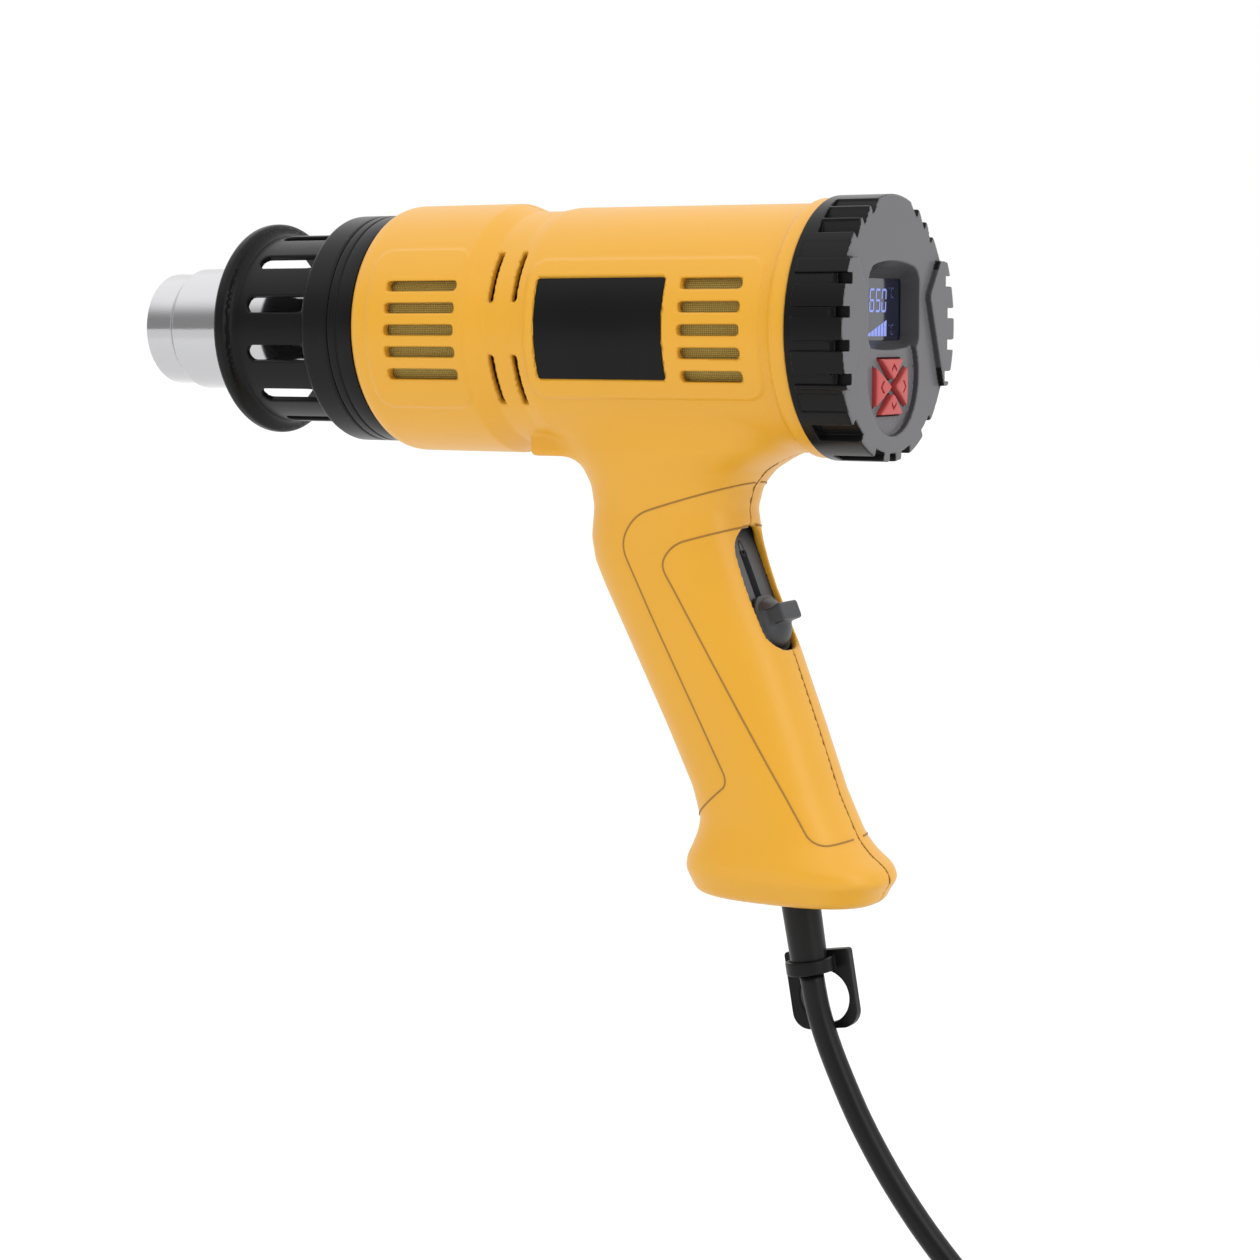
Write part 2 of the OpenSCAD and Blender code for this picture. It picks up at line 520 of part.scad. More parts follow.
left_shell();
right_shell();
rear_cap();
guard_collar();
heat_guard();
nozzle_tube();
mica_tube();
heater_cross();
heater_coil();
ceramic_outlet();
heater_base();
thermal_cutout();
thermocouple();
fan_housing();
fan_wheel();
motor_shaft();
motor_rotor();
motor_can();
motor_magnets();
motor_end_cap();
motor_bushings();
motor_brushes();
control_board();
heat_sink();
capacitor();
display_board();
lcd_module();
lcd_window();
button_pad();
button_up();
button_down();
button_left();
button_right();
switch_slider();
switch_plate();
switch_body();
vent_screens_left();
vent_screens_right();
label_plate_left();
label_plate_right();
shell_screws();
cord_clamp();
clamp_screws();
inner_leads();
inner_cord();
cord_boot();
hang_loop();
cord_tube();
cord_coil();
cord_tail();
cord_tie();
plug_body();
plug_blades();
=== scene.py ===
import bpy, math, json
import numpy as np
from mathutils import Vector, Matrix


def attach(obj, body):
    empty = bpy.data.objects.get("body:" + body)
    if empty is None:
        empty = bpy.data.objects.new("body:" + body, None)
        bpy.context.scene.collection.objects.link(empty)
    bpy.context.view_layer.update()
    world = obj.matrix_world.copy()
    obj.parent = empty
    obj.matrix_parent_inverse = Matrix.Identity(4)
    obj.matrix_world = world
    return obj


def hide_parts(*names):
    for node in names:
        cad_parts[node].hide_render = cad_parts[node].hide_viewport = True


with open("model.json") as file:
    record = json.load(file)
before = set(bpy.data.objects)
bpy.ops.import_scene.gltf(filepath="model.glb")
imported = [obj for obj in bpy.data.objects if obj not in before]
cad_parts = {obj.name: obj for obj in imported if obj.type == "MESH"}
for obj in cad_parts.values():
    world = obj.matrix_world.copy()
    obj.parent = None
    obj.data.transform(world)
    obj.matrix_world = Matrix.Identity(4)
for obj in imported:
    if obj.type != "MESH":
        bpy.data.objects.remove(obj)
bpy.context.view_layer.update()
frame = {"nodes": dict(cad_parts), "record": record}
sc = bpy.context.scene
AZ = 95.0          # height of the barrel axis, mm
FLOOR = -217.8     # surface that the coil lies on, mm
MM = 0.001

# ---------------------------------------------------------------- camera
cam_data = bpy.data.cameras.new("cam")
cam = bpy.data.objects.new("cam", cam_data)
sc.collection.objects.link(cam)
sc.camera = cam
cam_data.sensor_width = 36.0
cam_data.sensor_fit = "HORIZONTAL"
cam_data.lens = 78.33
cam.location = (0.37501, -0.70552, 0.095)
a, e = math.radians(29.864), math.radians(6.272)
look = Vector((-math.sin(a) * math.cos(e), math.cos(a) * math.cos(e), -math.sin(e)))
cam.rotation_mode = "QUATERNION"
cam.rotation_quaternion = look.to_track_quat("-Z", "Y")
cam_data.clip_start, cam_data.clip_end = 0.01, 50

# ---------------------------------------------------------------- mains lead
CORD_R = 3.6
route = [(30.9, 0, -92), (33.1, 0, -102), (36.4, 0, -111.5), (41, 0, -121.8), (47.4, 0, -134.2), (56, 0, -147.8),
         (65.6, 0, -160.4), (75, 1, -171.6), (84, 2.6, -181.4), (93, 4.6, -190), (102.5, 6.6, -197.4), (112, 7.8, -202.2)]
CX, CY, TURN = 112.0, -39.0, 46.8


def on_turn(a, z, r=TURN):
    return (CX + r * math.cos(math.radians(a)), CY + r * math.sin(math.radians(a)), z)


route += [on_turn(78, -204.9), on_turn(66, -206.1), on_turn(54, -206.2)]
radii = [46.8, 39.6, 32.4, 32.4, 39.6, 46.8]
heights = [-206.2, -206.2, -206.2, -213.4, -213.4, -213.4]
for k in range(6):
    for i in range(24):
        # each turn keeps its own radius and moves to the next one over its last part
        s = min(1.0, max(0.0, (i / 24 - 0.6) / 0.4))
        s = s * s * (3 - 2 * s)
        n = min(k + 1, 5)
        deg = 90 - 15 * i
        if (k == 0 and deg > 45) or (k == 5 and deg < 165 - 345):
            continue
        route.append(on_turn(deg, heights[k] + (heights[n] - heights[k]) * s, radii[k] + (radii[n] - radii[k]) * s))
route += [(70.7, -12.4, -213.4)]
for i in range(7):
    deg = 165 - 12.5 * i
    route.append((103.5 + 30 * math.cos(math.radians(deg)), -5.7 + 30 * math.sin(math.radians(deg)), -213.4 + 2.6 * i / 6))
route.append((104.2, 24.3, -210.8))


def catmull(points, n):
    P = np.array(points, float)
    out = []
    for i in range(len(P) - 1):
        p0, p1, p2, p3 = P[max(i - 1, 0)], P[i], P[i + 1], P[min(i + 2, len(P) - 1)]
        for j in range(n):
            t = j / n
            out.append(0.5 * ((2 * p1) + (-p0 + p2) * t + (2 * p0 - 5 * p1 + 4 * p2 - p3) * t * t + (-p0 + 3 * p1 - 3 * p2 + p3) * t ** 3))
    out.append(P[-1])
    return np.array(out)


line = catmull(route, 4)


def tube_mesh(name, path, radius, sides=20):
    """closed round tube along a path, in mm, with frames carried along it so that it never twists"""
    P = np.array(path, float)
    T = np.gradient(P, axis=0)
    T /= np.linalg.norm(T, axis=1)[:, None]
    u = np.cross(T[0], (0.0, 1.0, 0.0))
    if np.linalg.norm(u) < 1e-3:
        u = np.cross(T[0], (1.0, 0.0, 0.0))
    u /= np.linalg.norm(u)
    vs, fs = [], []
    R = np.broadcast_to(np.asarray(radius, float), (len(P),))
    for i in range(len(P)):
        u = u - T[i] * (u @ T[i])
        u /= np.linalg.norm(u)
        v = np.cross(T[i], u)
        for k in range(sides):
            an = 2 * math.pi * k / sides
            vs.append(tuple((P[i] + R[i] * (math.cos(an) * u + math.sin(an) * v)) * MM))
    for i in range(len(P) - 1):
        for k in range(sides):
            j = (k + 1) % sides
            fs.append((i * sides + k, i * sides + j, (i + 1) * sides + j, (i + 1) * sides + k))
    fs.append(tuple(range(sides))[::-1])
    fs.append(tuple((len(P) - 1) * sides + k for k in range(sides)))
    m = bpy.data.meshes.new(name)
    m.from_pydata(vs, [], fs)
    m.update()
    smooth = np.ones(len(fs), bool)
    smooth[-2:] = False
    m.polygons.foreach_set("use_smooth", smooth)
    return m


cord_mesh = tube_mesh("mains_cord", line, CORD_R, 28)
cord = bpy.data.objects.new("mains_cord", cord_mesh)
sc.collection.objects.link(cord)
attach(cord, "root")
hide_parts("cord_tube", "cord_coil", "cord_tail")

# ---------------------------------------------------------------- mesher
def smin(a, b, k):
    h = np.clip(0.5 + 0.5 * (b - a) / k, 0, 1)
    return b + (a - b) * h - k * h * (1 - h)


def smax(a, b, k):
    return -smin(-a, -b, k)


def step01(t):
    t = np.clip(t, 0, 1)
    return t * t * (3 - 2 * t)


def rrect(u, v, hu, hv, rad):
    """signed distance to a rounded rectangle"""
    qu, qv = np.abs(u) - hu + rad, np.abs(v) - hv + rad
    return np.hypot(np.maximum(qu, 0), np.maximum(qv, 0)) + np.minimum(np.maximum(qu, qv), 0) - rad


def rbox(x, y, z, lo, hi, rad):
    q = [np.abs(c - (a + b) / 2) - (b - a) / 2 + rad for c, a, b in zip((x, y, z), lo, hi)]
    out = np.sqrt(np.maximum(q[0], 0) ** 2 + np.maximum(q[1], 0) ** 2 + np.maximum(q[2], 0) ** 2)
    return out + np.minimum(np.maximum(np.maximum(q[0], q[1]), q[2]), 0) - rad


def spaced(*stops):
    """grid positions from [(start, cell), ..., (end, 0)]"""
    out = []
    for (a, c), (b, _) in zip(stops, stops[1:]):
        n = max(1, int(round((b - a) / (c * 1.0))))
        out += list(a + (b - a) * np.arange(n) / n)
    return np.array(out + [stops[-1][0]], np.float32)


def surface(name, f, xs, ys, zs, steps=5):
    """mesh of f(x, y, z) < 0 on a rectilinear grid, each vertex then moved onto the surface"""
    X, Y, Z = np.meshgrid(xs, ys, zs, indexing="ij", sparse=True)
    F = np.empty((len(xs), len(ys), len(zs)), np.float32)
    for i in range(0, len(xs), 24):
        F[i:i + 24] = f(X[i:i + 24], Y, Z)
    S = F < 0
    nx, ny, nz = S.shape
    cnt = np.zeros((nx - 1, ny - 1, nz - 1), np.int8)
    for a in (0, 1):
        for b in (0, 1):
            for c in (0, 1):
                cnt += S[a:nx - 1 + a, b:ny - 1 + b, c:nz - 1 + c]
    act = (cnt > 0) & (cnt < 8)
    idx = -np.ones(act.shape, np.int64)
    I = np.argwhere(act)
    idx[act] = np.arange(len(I))
    P = np.zeros((len(I), 3)); W = np.zeros(len(I))
    G = (xs.astype(float), ys.astype(float), zs.astype(float))
    for ax in range(3):
        o1, o2 = [k for k in range(3) if k != ax]
        for a in (0, 1):
            for b in (0, 1):
                J = I.copy(); J[:, o1] += a; J[:, o2] += b
                K = J.copy(); K[:, ax] += 1
                f0, f1 = F[tuple(J.T)], F[tuple(K.T)]
                m = (f0 < 0) != (f1 < 0)
                t = np.where(m, f0 / np.where(f0 == f1, 1, f0 - f1), 0)
                q = np.stack([G[k][J[:, k]] for k in range(3)], 1)
                q[:, ax] += t * (G[ax][K[:, ax]] - G[ax][J[:, ax]])
                P += q * m[:, None]; W += m
    P /= np.maximum(W, 1)[:, None]
    C = np.stack([(G[k][I[:, k]] + G[k][I[:, k] + 1]) / 2 for k in range(3)], 1)
    H = np.stack([(G[k][I[:, k] + 1] - G[k][I[:, k]]) / 2 for k in range(3)], 1)
    faces = []
    for ax in range(3):
        o1, o2 = [(1, 2), (2, 0), (0, 1)][ax]
        sl0 = [slice(None)] * 3; sl1 = [slice(None)] * 3
        sl0[ax] = slice(0, -1); sl1[ax] = slice(1, None)
        diff = S[tuple(sl0)] != S[tuple(sl1)]
        E = np.argwhere(diff)
        E = E[(E[:, o1] > 0) & (E[:, o2] > 0) & (E[:, o1] < S.shape[o1] - 1) & (E[:, o2] < S.shape[o2] - 1)]
        ins = S[tuple(E.T)]
        def at(d1, d2):
            J = E.copy(); J[:, o1] -= d1; J[:, o2] -= d2
            return idx[tuple(J.T)]
        q = np.stack([at(1, 1), at(0, 1), at(0, 0), at(1, 0)], 1)
        q[~ins] = q[~ins][:, ::-1]
        faces.append(q)
    Q = np.concatenate(faces)
    h = 0.02
    def grad(P):
        g = np.zeros_like(P)
        for k in range(3):
            d = np.zeros(3); d[k] = h
            A, B = P + d, P - d
            g[:, k] = (f(A[:, 0], A[:, 1], A[:, 2]) - f(B[:, 0], B[:, 1], B[:, 2])) / (2 * h)
        return g
    for _ in range(steps):
        v = f(P[:, 0], P[:, 1], P[:, 2])
        g = grad(P)
        n2 = np.maximum((g * g).sum(1), 0.05)
        P = P - np.clip(v / n2, -0.6, 0.6)[:, None] * g
        P = np.clip(P, C - H * 1.05, C + H * 1.05)
    me = bpy.data.meshes.new(name)
    me.from_pydata((P * MM).tolist(), [], Q.tolist())
    me.validate()
    me.update()
    me.polygons.foreach_set("use_smooth", np.ones(len(me.polygons), bool))
    g = grad(P)
    g /= np.maximum(np.linalg.norm(g, axis=1), 1e-9)[:, None]
    if len(me.vertices) == len(g):
        me.normals_split_custom_set_from_vertices(g.tolist())
    return me


def piece(name, me, body, slot, mat, *nodes):
    o = bpy.data.objects.new(name, me)
    sc.collection.objects.link(o)
    me.materials.clear()
    me.materials.append(mat)
    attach(o, body)
    if nodes:
        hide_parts(*nodes)
    return o


# ---------------------------------------------------------------- materials
def material(name, color, rough, metal=0.0, bump=0.0, scale=900.0, var=0.0, rvar=0.0, coat=0.0, stretch=None, aniso=0.0, spec=0.5, detail=3.0, dirt=0.0, dirt_color=None):
    m = bpy.data.materials.new(name)
    m.use_nodes = True
    nt = m.node_tree
    b = nt.nodes["Principled BSDF"]
    b.inputs["Base Color"].default_value = (*color, 1)
    b.inputs["Roughness"].default_value = rough
    b.inputs["Metallic"].default_value = metal
    b.inputs["Specular IOR Level"].default_value = spec
    b.inputs["Coat Weight"].default_value = coat
    b.inputs["Coat Roughness"].default_value = 0.12
    b.inputs["Anisotropic"].default_value = aniso
    tc = nt.nodes.new("ShaderNodeTexCoord")
    mp = nt.nodes.new("ShaderNodeMapping")
    if stretch:
        mp.inputs["Scale"].default_value = stretch
    nt.links.new(tc.outputs["Object"], mp.inputs["Vector"])
    nz = nt.nodes.new("ShaderNodeTexNoise")
    nz.inputs["Scale"].default_value = scale
    nz.inputs["Detail"].default_value = detail
    nt.links.new(mp.outputs["Vector"], nz.inputs["Vector"])
    if bump:
        bp = nt.nodes.new("ShaderNodeBump")
        bp.inputs["Strength"].default_value = bump
        bp.inputs["Distance"].default_value = 0.0003
        nt.links.new(nz.outputs["Fac"], bp.inputs["Height"])
        nt.links.new(bp.outputs["Normal"], b.inputs["Normal"])
    n2 = nt.nodes.new("ShaderNodeTexNoise")
    n2.inputs["Scale"].default_value = 38.0
    n2.inputs["Detail"].default_value = 5.0
    nt.links.new(tc.outputs["Object"], n2.inputs["Vector"])
    if var:
        mx = nt.nodes.new("ShaderNodeMix"); mx.data_type = "RGBA"
        lo = [max(0, c * (1 - var)) for c in color]; hi = [min(1, c * (1 + var)) for c in color]
        mx.inputs[6].default_value = (*lo, 1); mx.inputs[7].default_value = (*hi, 1)
        nt.links.new(n2.outputs["Fac"], mx.inputs[0])
        nt.links.new(mx.outputs[2], b.inputs["Base Color"])
    if rvar:
        mr = nt.nodes.new("ShaderNodeMapRange")
        mr.inputs["To Min"].default_value = max(0.02, rough - rvar)
        mr.inputs["To Max"].default_value = min(1, rough + rvar)
        nt.links.new(n2.outputs["Fac"], mr.inputs["Value"])
        nt.links.new(mr.outputs["Result"], b.inputs["Roughness"])
    return m


M = {
    "housing_yellow": material("housing_yellow", (0.665, 0.330, 0.022), 0.38, bump=0.05, scale=1500, var=0.03, rvar=0.05, spec=0.42),
    # seam_line is a dark shaded copy of the yellow: on the back parting line it is the dark joint, on the grip lines it
    # is painted shade standing in for grooves
    "seam_line": material("seam_line", (0.30, 0.15, 0.02), 0.6, bump=0.05, var=0.1),
    "cap_black": material("cap_black", (0.007, 0.007, 0.007), 0.26, bump=0.04, scale=1800, var=0.10, rvar=0.04, spec=0.11),
    "guard_black": material("guard_black", (0.006, 0.006, 0.006), 0.30, bump=0.08, scale=1400, var=0.12, rvar=0.05, spec=0.14),
    "nozzle_steel": material("nozzle_steel", (0.50, 0.50, 0.51), 0.10, metal=1.0, bump=0.03, scale=260, stretch=(1, 14, 14), rvar=0.04, var=0.03),
    "mica": material("mica", (0.50, 0.40, 0.26), 0.6, bump=0.3, scale=300, var=0.2, rvar=0.1),
    "ceramic": material("ceramic", (0.76, 0.71, 0.62), 0.75, bump=0.3, scale=1200, var=0.07),
    "resistance_wire": material("resistance_wire", (0.20, 0.17, 0.16), 0.45, metal=1.0, bump=0.1, var=0.3, rvar=0.1),
    "sensor_metal": material("sensor_metal", (0.5, 0.5, 0.5), 0.35, metal=1.0, bump=0.05, var=0.08, rvar=0.08),
    "fan_plastic": material("fan_plastic", (0.62, 0.60, 0.54), 0.5, bump=0.08, var=0.04, rvar=0.05),
    "duct_grey": material("duct_grey", (0.05, 0.055, 0.06), 0.5, bump=0.1, var=0.1, rvar=0.05),
    "motor_steel": material("motor_steel", (0.5, 0.5, 0.52), 0.3, metal=1.0, bump=0.05, scale=300, stretch=(1, 12, 12), var=0.06, rvar=0.08),
    "rotor_copper": material("rotor_copper", (0.55, 0.25, 0.12), 0.35, metal=1.0, bump=0.5, scale=900, stretch=(12, 1, 1), var=0.15),
    "magnet_dark": material("magnet_dark", (0.035, 0.035, 0.037), 0.6, bump=0.2, var=0.1),
    "bushing_bronze": material("bushing_bronze", (0.50, 0.32, 0.12), 0.4, metal=1.0, bump=0.2, var=0.1),
    "carbon": material("carbon", (0.02, 0.02, 0.02), 0.5, bump=0.2, var=0.2),
    "board_green": material("board_green", (0.02, 0.12, 0.05), 0.3, bump=0.15, scale=300, var=0.25, rvar=0.1),
    "heat_sink_alu": material("heat_sink_alu", (0.62, 0.62, 0.64), 0.35, metal=1.0, bump=0.1, scale=200, stretch=(1, 1, 20), var=0.05),
    "film_yellow": material("film_yellow", (0.55, 0.38, 0.05), 0.35, bump=0.05, var=0.06),
    "pad_rubber": material("pad_rubber", (0.05, 0.05, 0.05), 0.7, bump=0.15, var=0.1),
    "button_red": material("button_red", (0.42, 0.050, 0.048), 0.42, bump=0.06, scale=1600, var=0.05, rvar=0.05),
    "slider_black": material("slider_black", (0.018, 0.019, 0.022), 0.42, bump=0.08, scale=1500, var=0.08, rvar=0.05),
    "switch_dark": material("switch_dark", (0.05, 0.053, 0.06), 0.45, bump=0.08, var=0.06, rvar=0.05),
    "label_black": material("label_black", (0.006, 0.006, 0.006), 0.30, bump=0.03, scale=600, var=0.2, rvar=0.05, spec=0.12),
    "screw_steel": material("screw_steel", (0.55, 0.55, 0.57), 0.3, metal=1.0, bump=0.05, var=0.08, rvar=0.08),
    "lead_blue": material("lead_blue", (0.03, 0.10, 0.42), 0.4, bump=0.05, var=0.06),
    "cord_black": material("cord_black", (0.006, 0.006, 0.006), 0.34, bump=0.12, scale=1200, var=0.12, rvar=0.06, spec=0.2),
    "loop_black": material("loop_black", (0.007, 0.007, 0.008), 0.36, bump=0.08, scale=1400, var=0.1, rvar=0.06, spec=0.14),
    "blade_metal": material("blade_metal", (0.66, 0.56, 0.33), 0.25, metal=1.0, bump=0.06, scale=250, stretch=(12, 1, 1), var=0.06, rvar=0.06),
    "lcd_face": material("lcd_face", (0.012, 0.014, 0.03), 0.15, bump=0.02, var=0.1, coat=0.3),
    "lcd_clear": material("lcd_clear", (0.010, 0.012, 0.028), 0.08, bump=0.015, scale=400, var=0.15, rvar=0.03, coat=0.5),
    "lcd_lit": material("lcd_lit", (0.22, 0.27, 0.60), 0.4, bump=0.02, var=0.05),
    "lcd_dim": material("lcd_dim", (0.035, 0.05, 0.16), 0.4, bump=0.02, var=0.05),
}
# painted reflection: the cap's rear-facing faces (world normal towards +X) and the walls of the display recess get a
# lighter grey base colour, standing in for light from the right; the rim keeps the dark base
cp = M["cap_black"].node_tree; cb = cp.nodes["Principled BSDF"]
geo = cp.nodes.new("ShaderNodeNewGeometry")
nsp = cp.nodes.new("ShaderNodeSeparateXYZ"); cp.links.new(geo.outputs["True Normal"], nsp.inputs[0])
tcp = cp.nodes.new("ShaderNodeTexCoord")
psp = cp.nodes.new("ShaderNodeSeparateXYZ"); cp.links.new(tcp.outputs["Object"], psp.inputs[0])


def step_node(sock, a, b):
    r = cp.nodes.new("ShaderNodeMapRange")
    for k, v in (("From Min", a), ("From Max", b), ("To Min", 0.0), ("To Max", 1.0)):
        r.inputs[k].default_value = v
    cp.links.new(sock, r.inputs["Value"])
    return r.outputs["Result"]


# painted sheen mask: faces whose world normal points to +X, behind x = 52.5 mm
painted_sheen_face_mask = cp.nodes.new("ShaderNodeMath"); painted_sheen_face_mask.operation = "MULTIPLY"
cp.links.new(step_node(nsp.outputs["X"], 0.55, 0.85), painted_sheen_face_mask.inputs[0])
cp.links.new(step_node(psp.outputs["X"], 0.0525, 0.0532), painted_sheen_face_mask.inputs[1])
old = cb.inputs["Base Color"].links[0].from_socket
# mix towards the lighter grey of the painted light, by the painted light mask
painted_light_mix = cp.nodes.new("ShaderNodeMix"); painted_light_mix.data_type = "RGBA"
painted_light_mix.inputs[7].default_value = (0.125, 0.122, 0.128, 1)
# painted light on the walls of the display recess: within about 31 mm of the axis and behind x = 48.5 mm, at 0.38
# weight
yz = cp.nodes.new("ShaderNodeCombineXYZ")
cp.links.new(psp.outputs["Y"], yz.inputs["Y"]); cp.links.new(psp.outputs["Z"], yz.inputs["Z"])
ds = cp.nodes.new("ShaderNodeVectorMath"); ds.operation = "DISTANCE"; ds.inputs[1].default_value = (0, 0, 0.095)
cp.links.new(yz.outputs[0], ds.inputs[0])
painted_recess_light_mask = cp.nodes.new("ShaderNodeMath"); painted_recess_light_mask.operation = "MULTIPLY"
cp.links.new(step_node(ds.outputs["Value"], 0.0312, 0.0308), painted_recess_light_mask.inputs[0])
cp.links.new(step_node(psp.outputs["X"], 0.0485, 0.0500), painted_recess_light_mask.inputs[1])
painted_recess_light_weight = cp.nodes.new("ShaderNodeMath"); painted_recess_light_weight.operation = "MULTIPLY"; painted_recess_light_weight.inputs[1].default_value = 0.38
cp.links.new(painted_recess_light_mask.outputs[0], painted_recess_light_weight.inputs[0])
painted_light_mask = cp.nodes.new("ShaderNodeMath"); painted_light_mask.operation = "MAXIMUM"
cp.links.new(painted_sheen_face_mask.outputs[0], painted_light_mask.inputs[0]); cp.links.new(painted_recess_light_weight.outputs[0], painted_light_mask.inputs[1])
cp.links.new(old, painted_light_mix.inputs[6]); cp.links.new(painted_light_mask.outputs[0], painted_light_mix.inputs[0]); cp.links.new(painted_light_mix.outputs[2], cb.inputs["Base Color"])
lit = M["lcd_lit"].node_tree.nodes["Principled BSDF"]
lit.inputs["Emission Color"].default_value = (0.22, 0.30, 0.95, 1)
lit.inputs["Emission Strength"].default_value = 0.22
# woven dust mesh: two crossed waves
mm_ = bpy.data.materials.new("mesh_olive"); mm_.use_nodes = True
nt = mm_.node_tree; b = nt.nodes["Principled BSDF"]
b.inputs["Roughness"].default_value = 0.55; b.inputs["Metallic"].default_value = 0.1
tc = nt.nodes.new("ShaderNodeTexCoord")
waves = []
for d in ("X", "Z"):
    w = nt.nodes.new("ShaderNodeTexWave"); w.bands_direction = d; w.inputs["Scale"].default_value = 520.0; w.inputs["Distortion"].default_value = 0.0
    nt.links.new(tc.outputs["Object"], w.inputs["Vector"]); waves.append(w)
ma = nt.nodes.new("ShaderNodeMath"); ma.operation = "MAXIMUM"
nt.links.new(waves[0].outputs["Fac"], ma.inputs[0]); nt.links.new(waves[1].outputs["Fac"], ma.inputs[1])
cr = nt.nodes.new("ShaderNodeMix"); cr.data_type = "RGBA"
cr.inputs[6].default_value = (0.13, 0.095, 0.02, 1); cr.inputs[7].default_value = (0.50, 0.38, 0.09, 1)
nt.links.new(ma.outputs[0], cr.inputs[0]); nt.links.new(cr.outputs[2], b.inputs["Base Color"])
bp = nt.nodes.new("ShaderNodeBump"); bp.inputs["Strength"].default_value = 0.7; bp.inputs["Distance"].default_value = 0.0004
nt.links.new(ma.outputs[0], bp.inputs["Height"]); nt.links.new(bp.outputs["Normal"], b.inputs["Normal"])
M["mesh_olive"] = mm_
for s in frame["record"]["subparts"]:
    o = frame["nodes"][s["node"]]
    o.data.materials.clear()
    o.data.materials.append(M[s["material_slot"]])
cord_mesh.materials.append(M["cord_black"])

# ---------------------------------------------------------------- housing halves
rx = np.array([-130, -106.6, -105.6, -104.4, -103, -101, -65.8, -59.2, -50.4, -45, 33.0, 34.4, 60])
rr = np.array([33.7, 33.7, 35.2, 36.3, 36.9, 37.2, 37.2, 34.7, 34.7, 35.6, 35.2, 36.6, 36.6])
ri_x = np.array([-130, -101.3, -101.1, -66, -60, -49.5, -44, 60])
ri_r = np.array([31.2, 31.2, 34.7, 34.7, 32.2, 32.2, 33.05, 33.05])
rings = np.array([[-75, -6.3, 53.8, 19.0], [-65.6, -6.3, 53.8, 19.0], [-62, -7.9, 56.0, 20.4], [-58.5, -7.3, 54.4, 20.5], [-55, -5.4, 49.6, 20.0],
                  [-51, -3.7, 46.0, 19.3], [-47, -2.9, 43.9, 18.8], [-38, -5.5, 39.6, 18.4], [-20, -14.4, 33.0, 18.3],
                  [3, -26.5, 24.2, 18.3], [20, -35.4, 16.5, 18.4], [27, -38.6, 13.9, 18.6], [34, -39.8, 11.6, 18.9],
                  [43, -38.6, 9.9, 19.6], [49.5, -39.4, 11.4, 21.0], [54.5, -42, 15.5, 22.8], [60, -47, 25, 24.6],
                  [66, -51, 31, 25.2], [90, -51, 31, 24.0]])
zf = np.linspace(-80, 90, 1701)
fine = [np.interp(zf, rings[:, 0], rings[:, k]) for k in (1, 2, 3)]
ker = np.hanning(43); ker /= ker.sum()
smooth3 = []
for v in fine:
    p = np.pad(v, 21, mode="edge")
    smooth3.append(np.convolve(p, ker, "valid"))


def round_r(x, xs_, rs_, w=0.5):
    return (np.interp(x - w, xs_, rs_) + 2 * np.interp(x, xs_, rs_) + np.interp(x + w, xs_, rs_)) / 4


def grip_f(x, y, z, inset=0.0):
    fx, bx, hw = (np.interp(z, zf, v) for v in smooth3)
    a = (bx - fx) / 2 - inset
    b = hw - inset
    c = (bx + fx) / 2
    u, v = np.abs(x - c) / a, np.abs(y) / b
    k = (u ** 2.4 + v ** 2.4 + 1e-12) ** (1 / 2.4)
    gu, gv = (u / k) ** 1.4 / a, (v / k) ** 1.4 / b
    return (k - 1) / np.maximum(np.sqrt(gu ** 2 + gv ** 2), 1e-3)


ct, st = math.cos(math.radians(22.2)), math.sin(math.radians(22.2))


def switch_uv(x, z):
    dx, dz = x - 16.3, z - 20.5
    return dx * ct + dz * st, -dx * st + dz * ct      # outward, along the slot


SCREWS = [(-23, 44), (1, -14), (10, -58), (-53.5, AZ + 27.5), (-53.5, AZ - 27.5), (29.4, AZ + 28)]
cb, sb = math.cos(math.radians(9.8)), math.sin(math.radians(9.8))


def outer_f(x, y, z):
    zz_ = z - AZ
    r = np.sqrt(y * y + zz_ * zz_)
    s = np.arctan2(zz_, np.abs(y) + 1e-6) * 36.0        # arc length up from the side
    R = round_r(x, rx, rr)
    side = (np.abs(y) > 1)
    p1 = rrect(x + 82, s, 16.6, 24.0, 5.5)
    p2 = rrect(x + 7.2, s, 37.6, 21.0, 5.5)
    R = R + 0.65 * step01(0.5 - p1 / 1.7) * side + 0.75 * step01(0.5 - p2 / 1.7) * side
    barrel = smax(smax(r - R, -106.5 - x, 0.6), x - 39.0, 0.3)
    pad = rbox(x, y, z, (-55.3, -16, 57.6), (-28, 16, 80), 1.6)
    grip = smax(grip_f(x, y, z), -69.6 - z, 6.0)
    grip = smax(grip, z - 84, 1.0)
    body = smin(barrel, pad, 1.2)
    return smin(body, grip, 4.0)


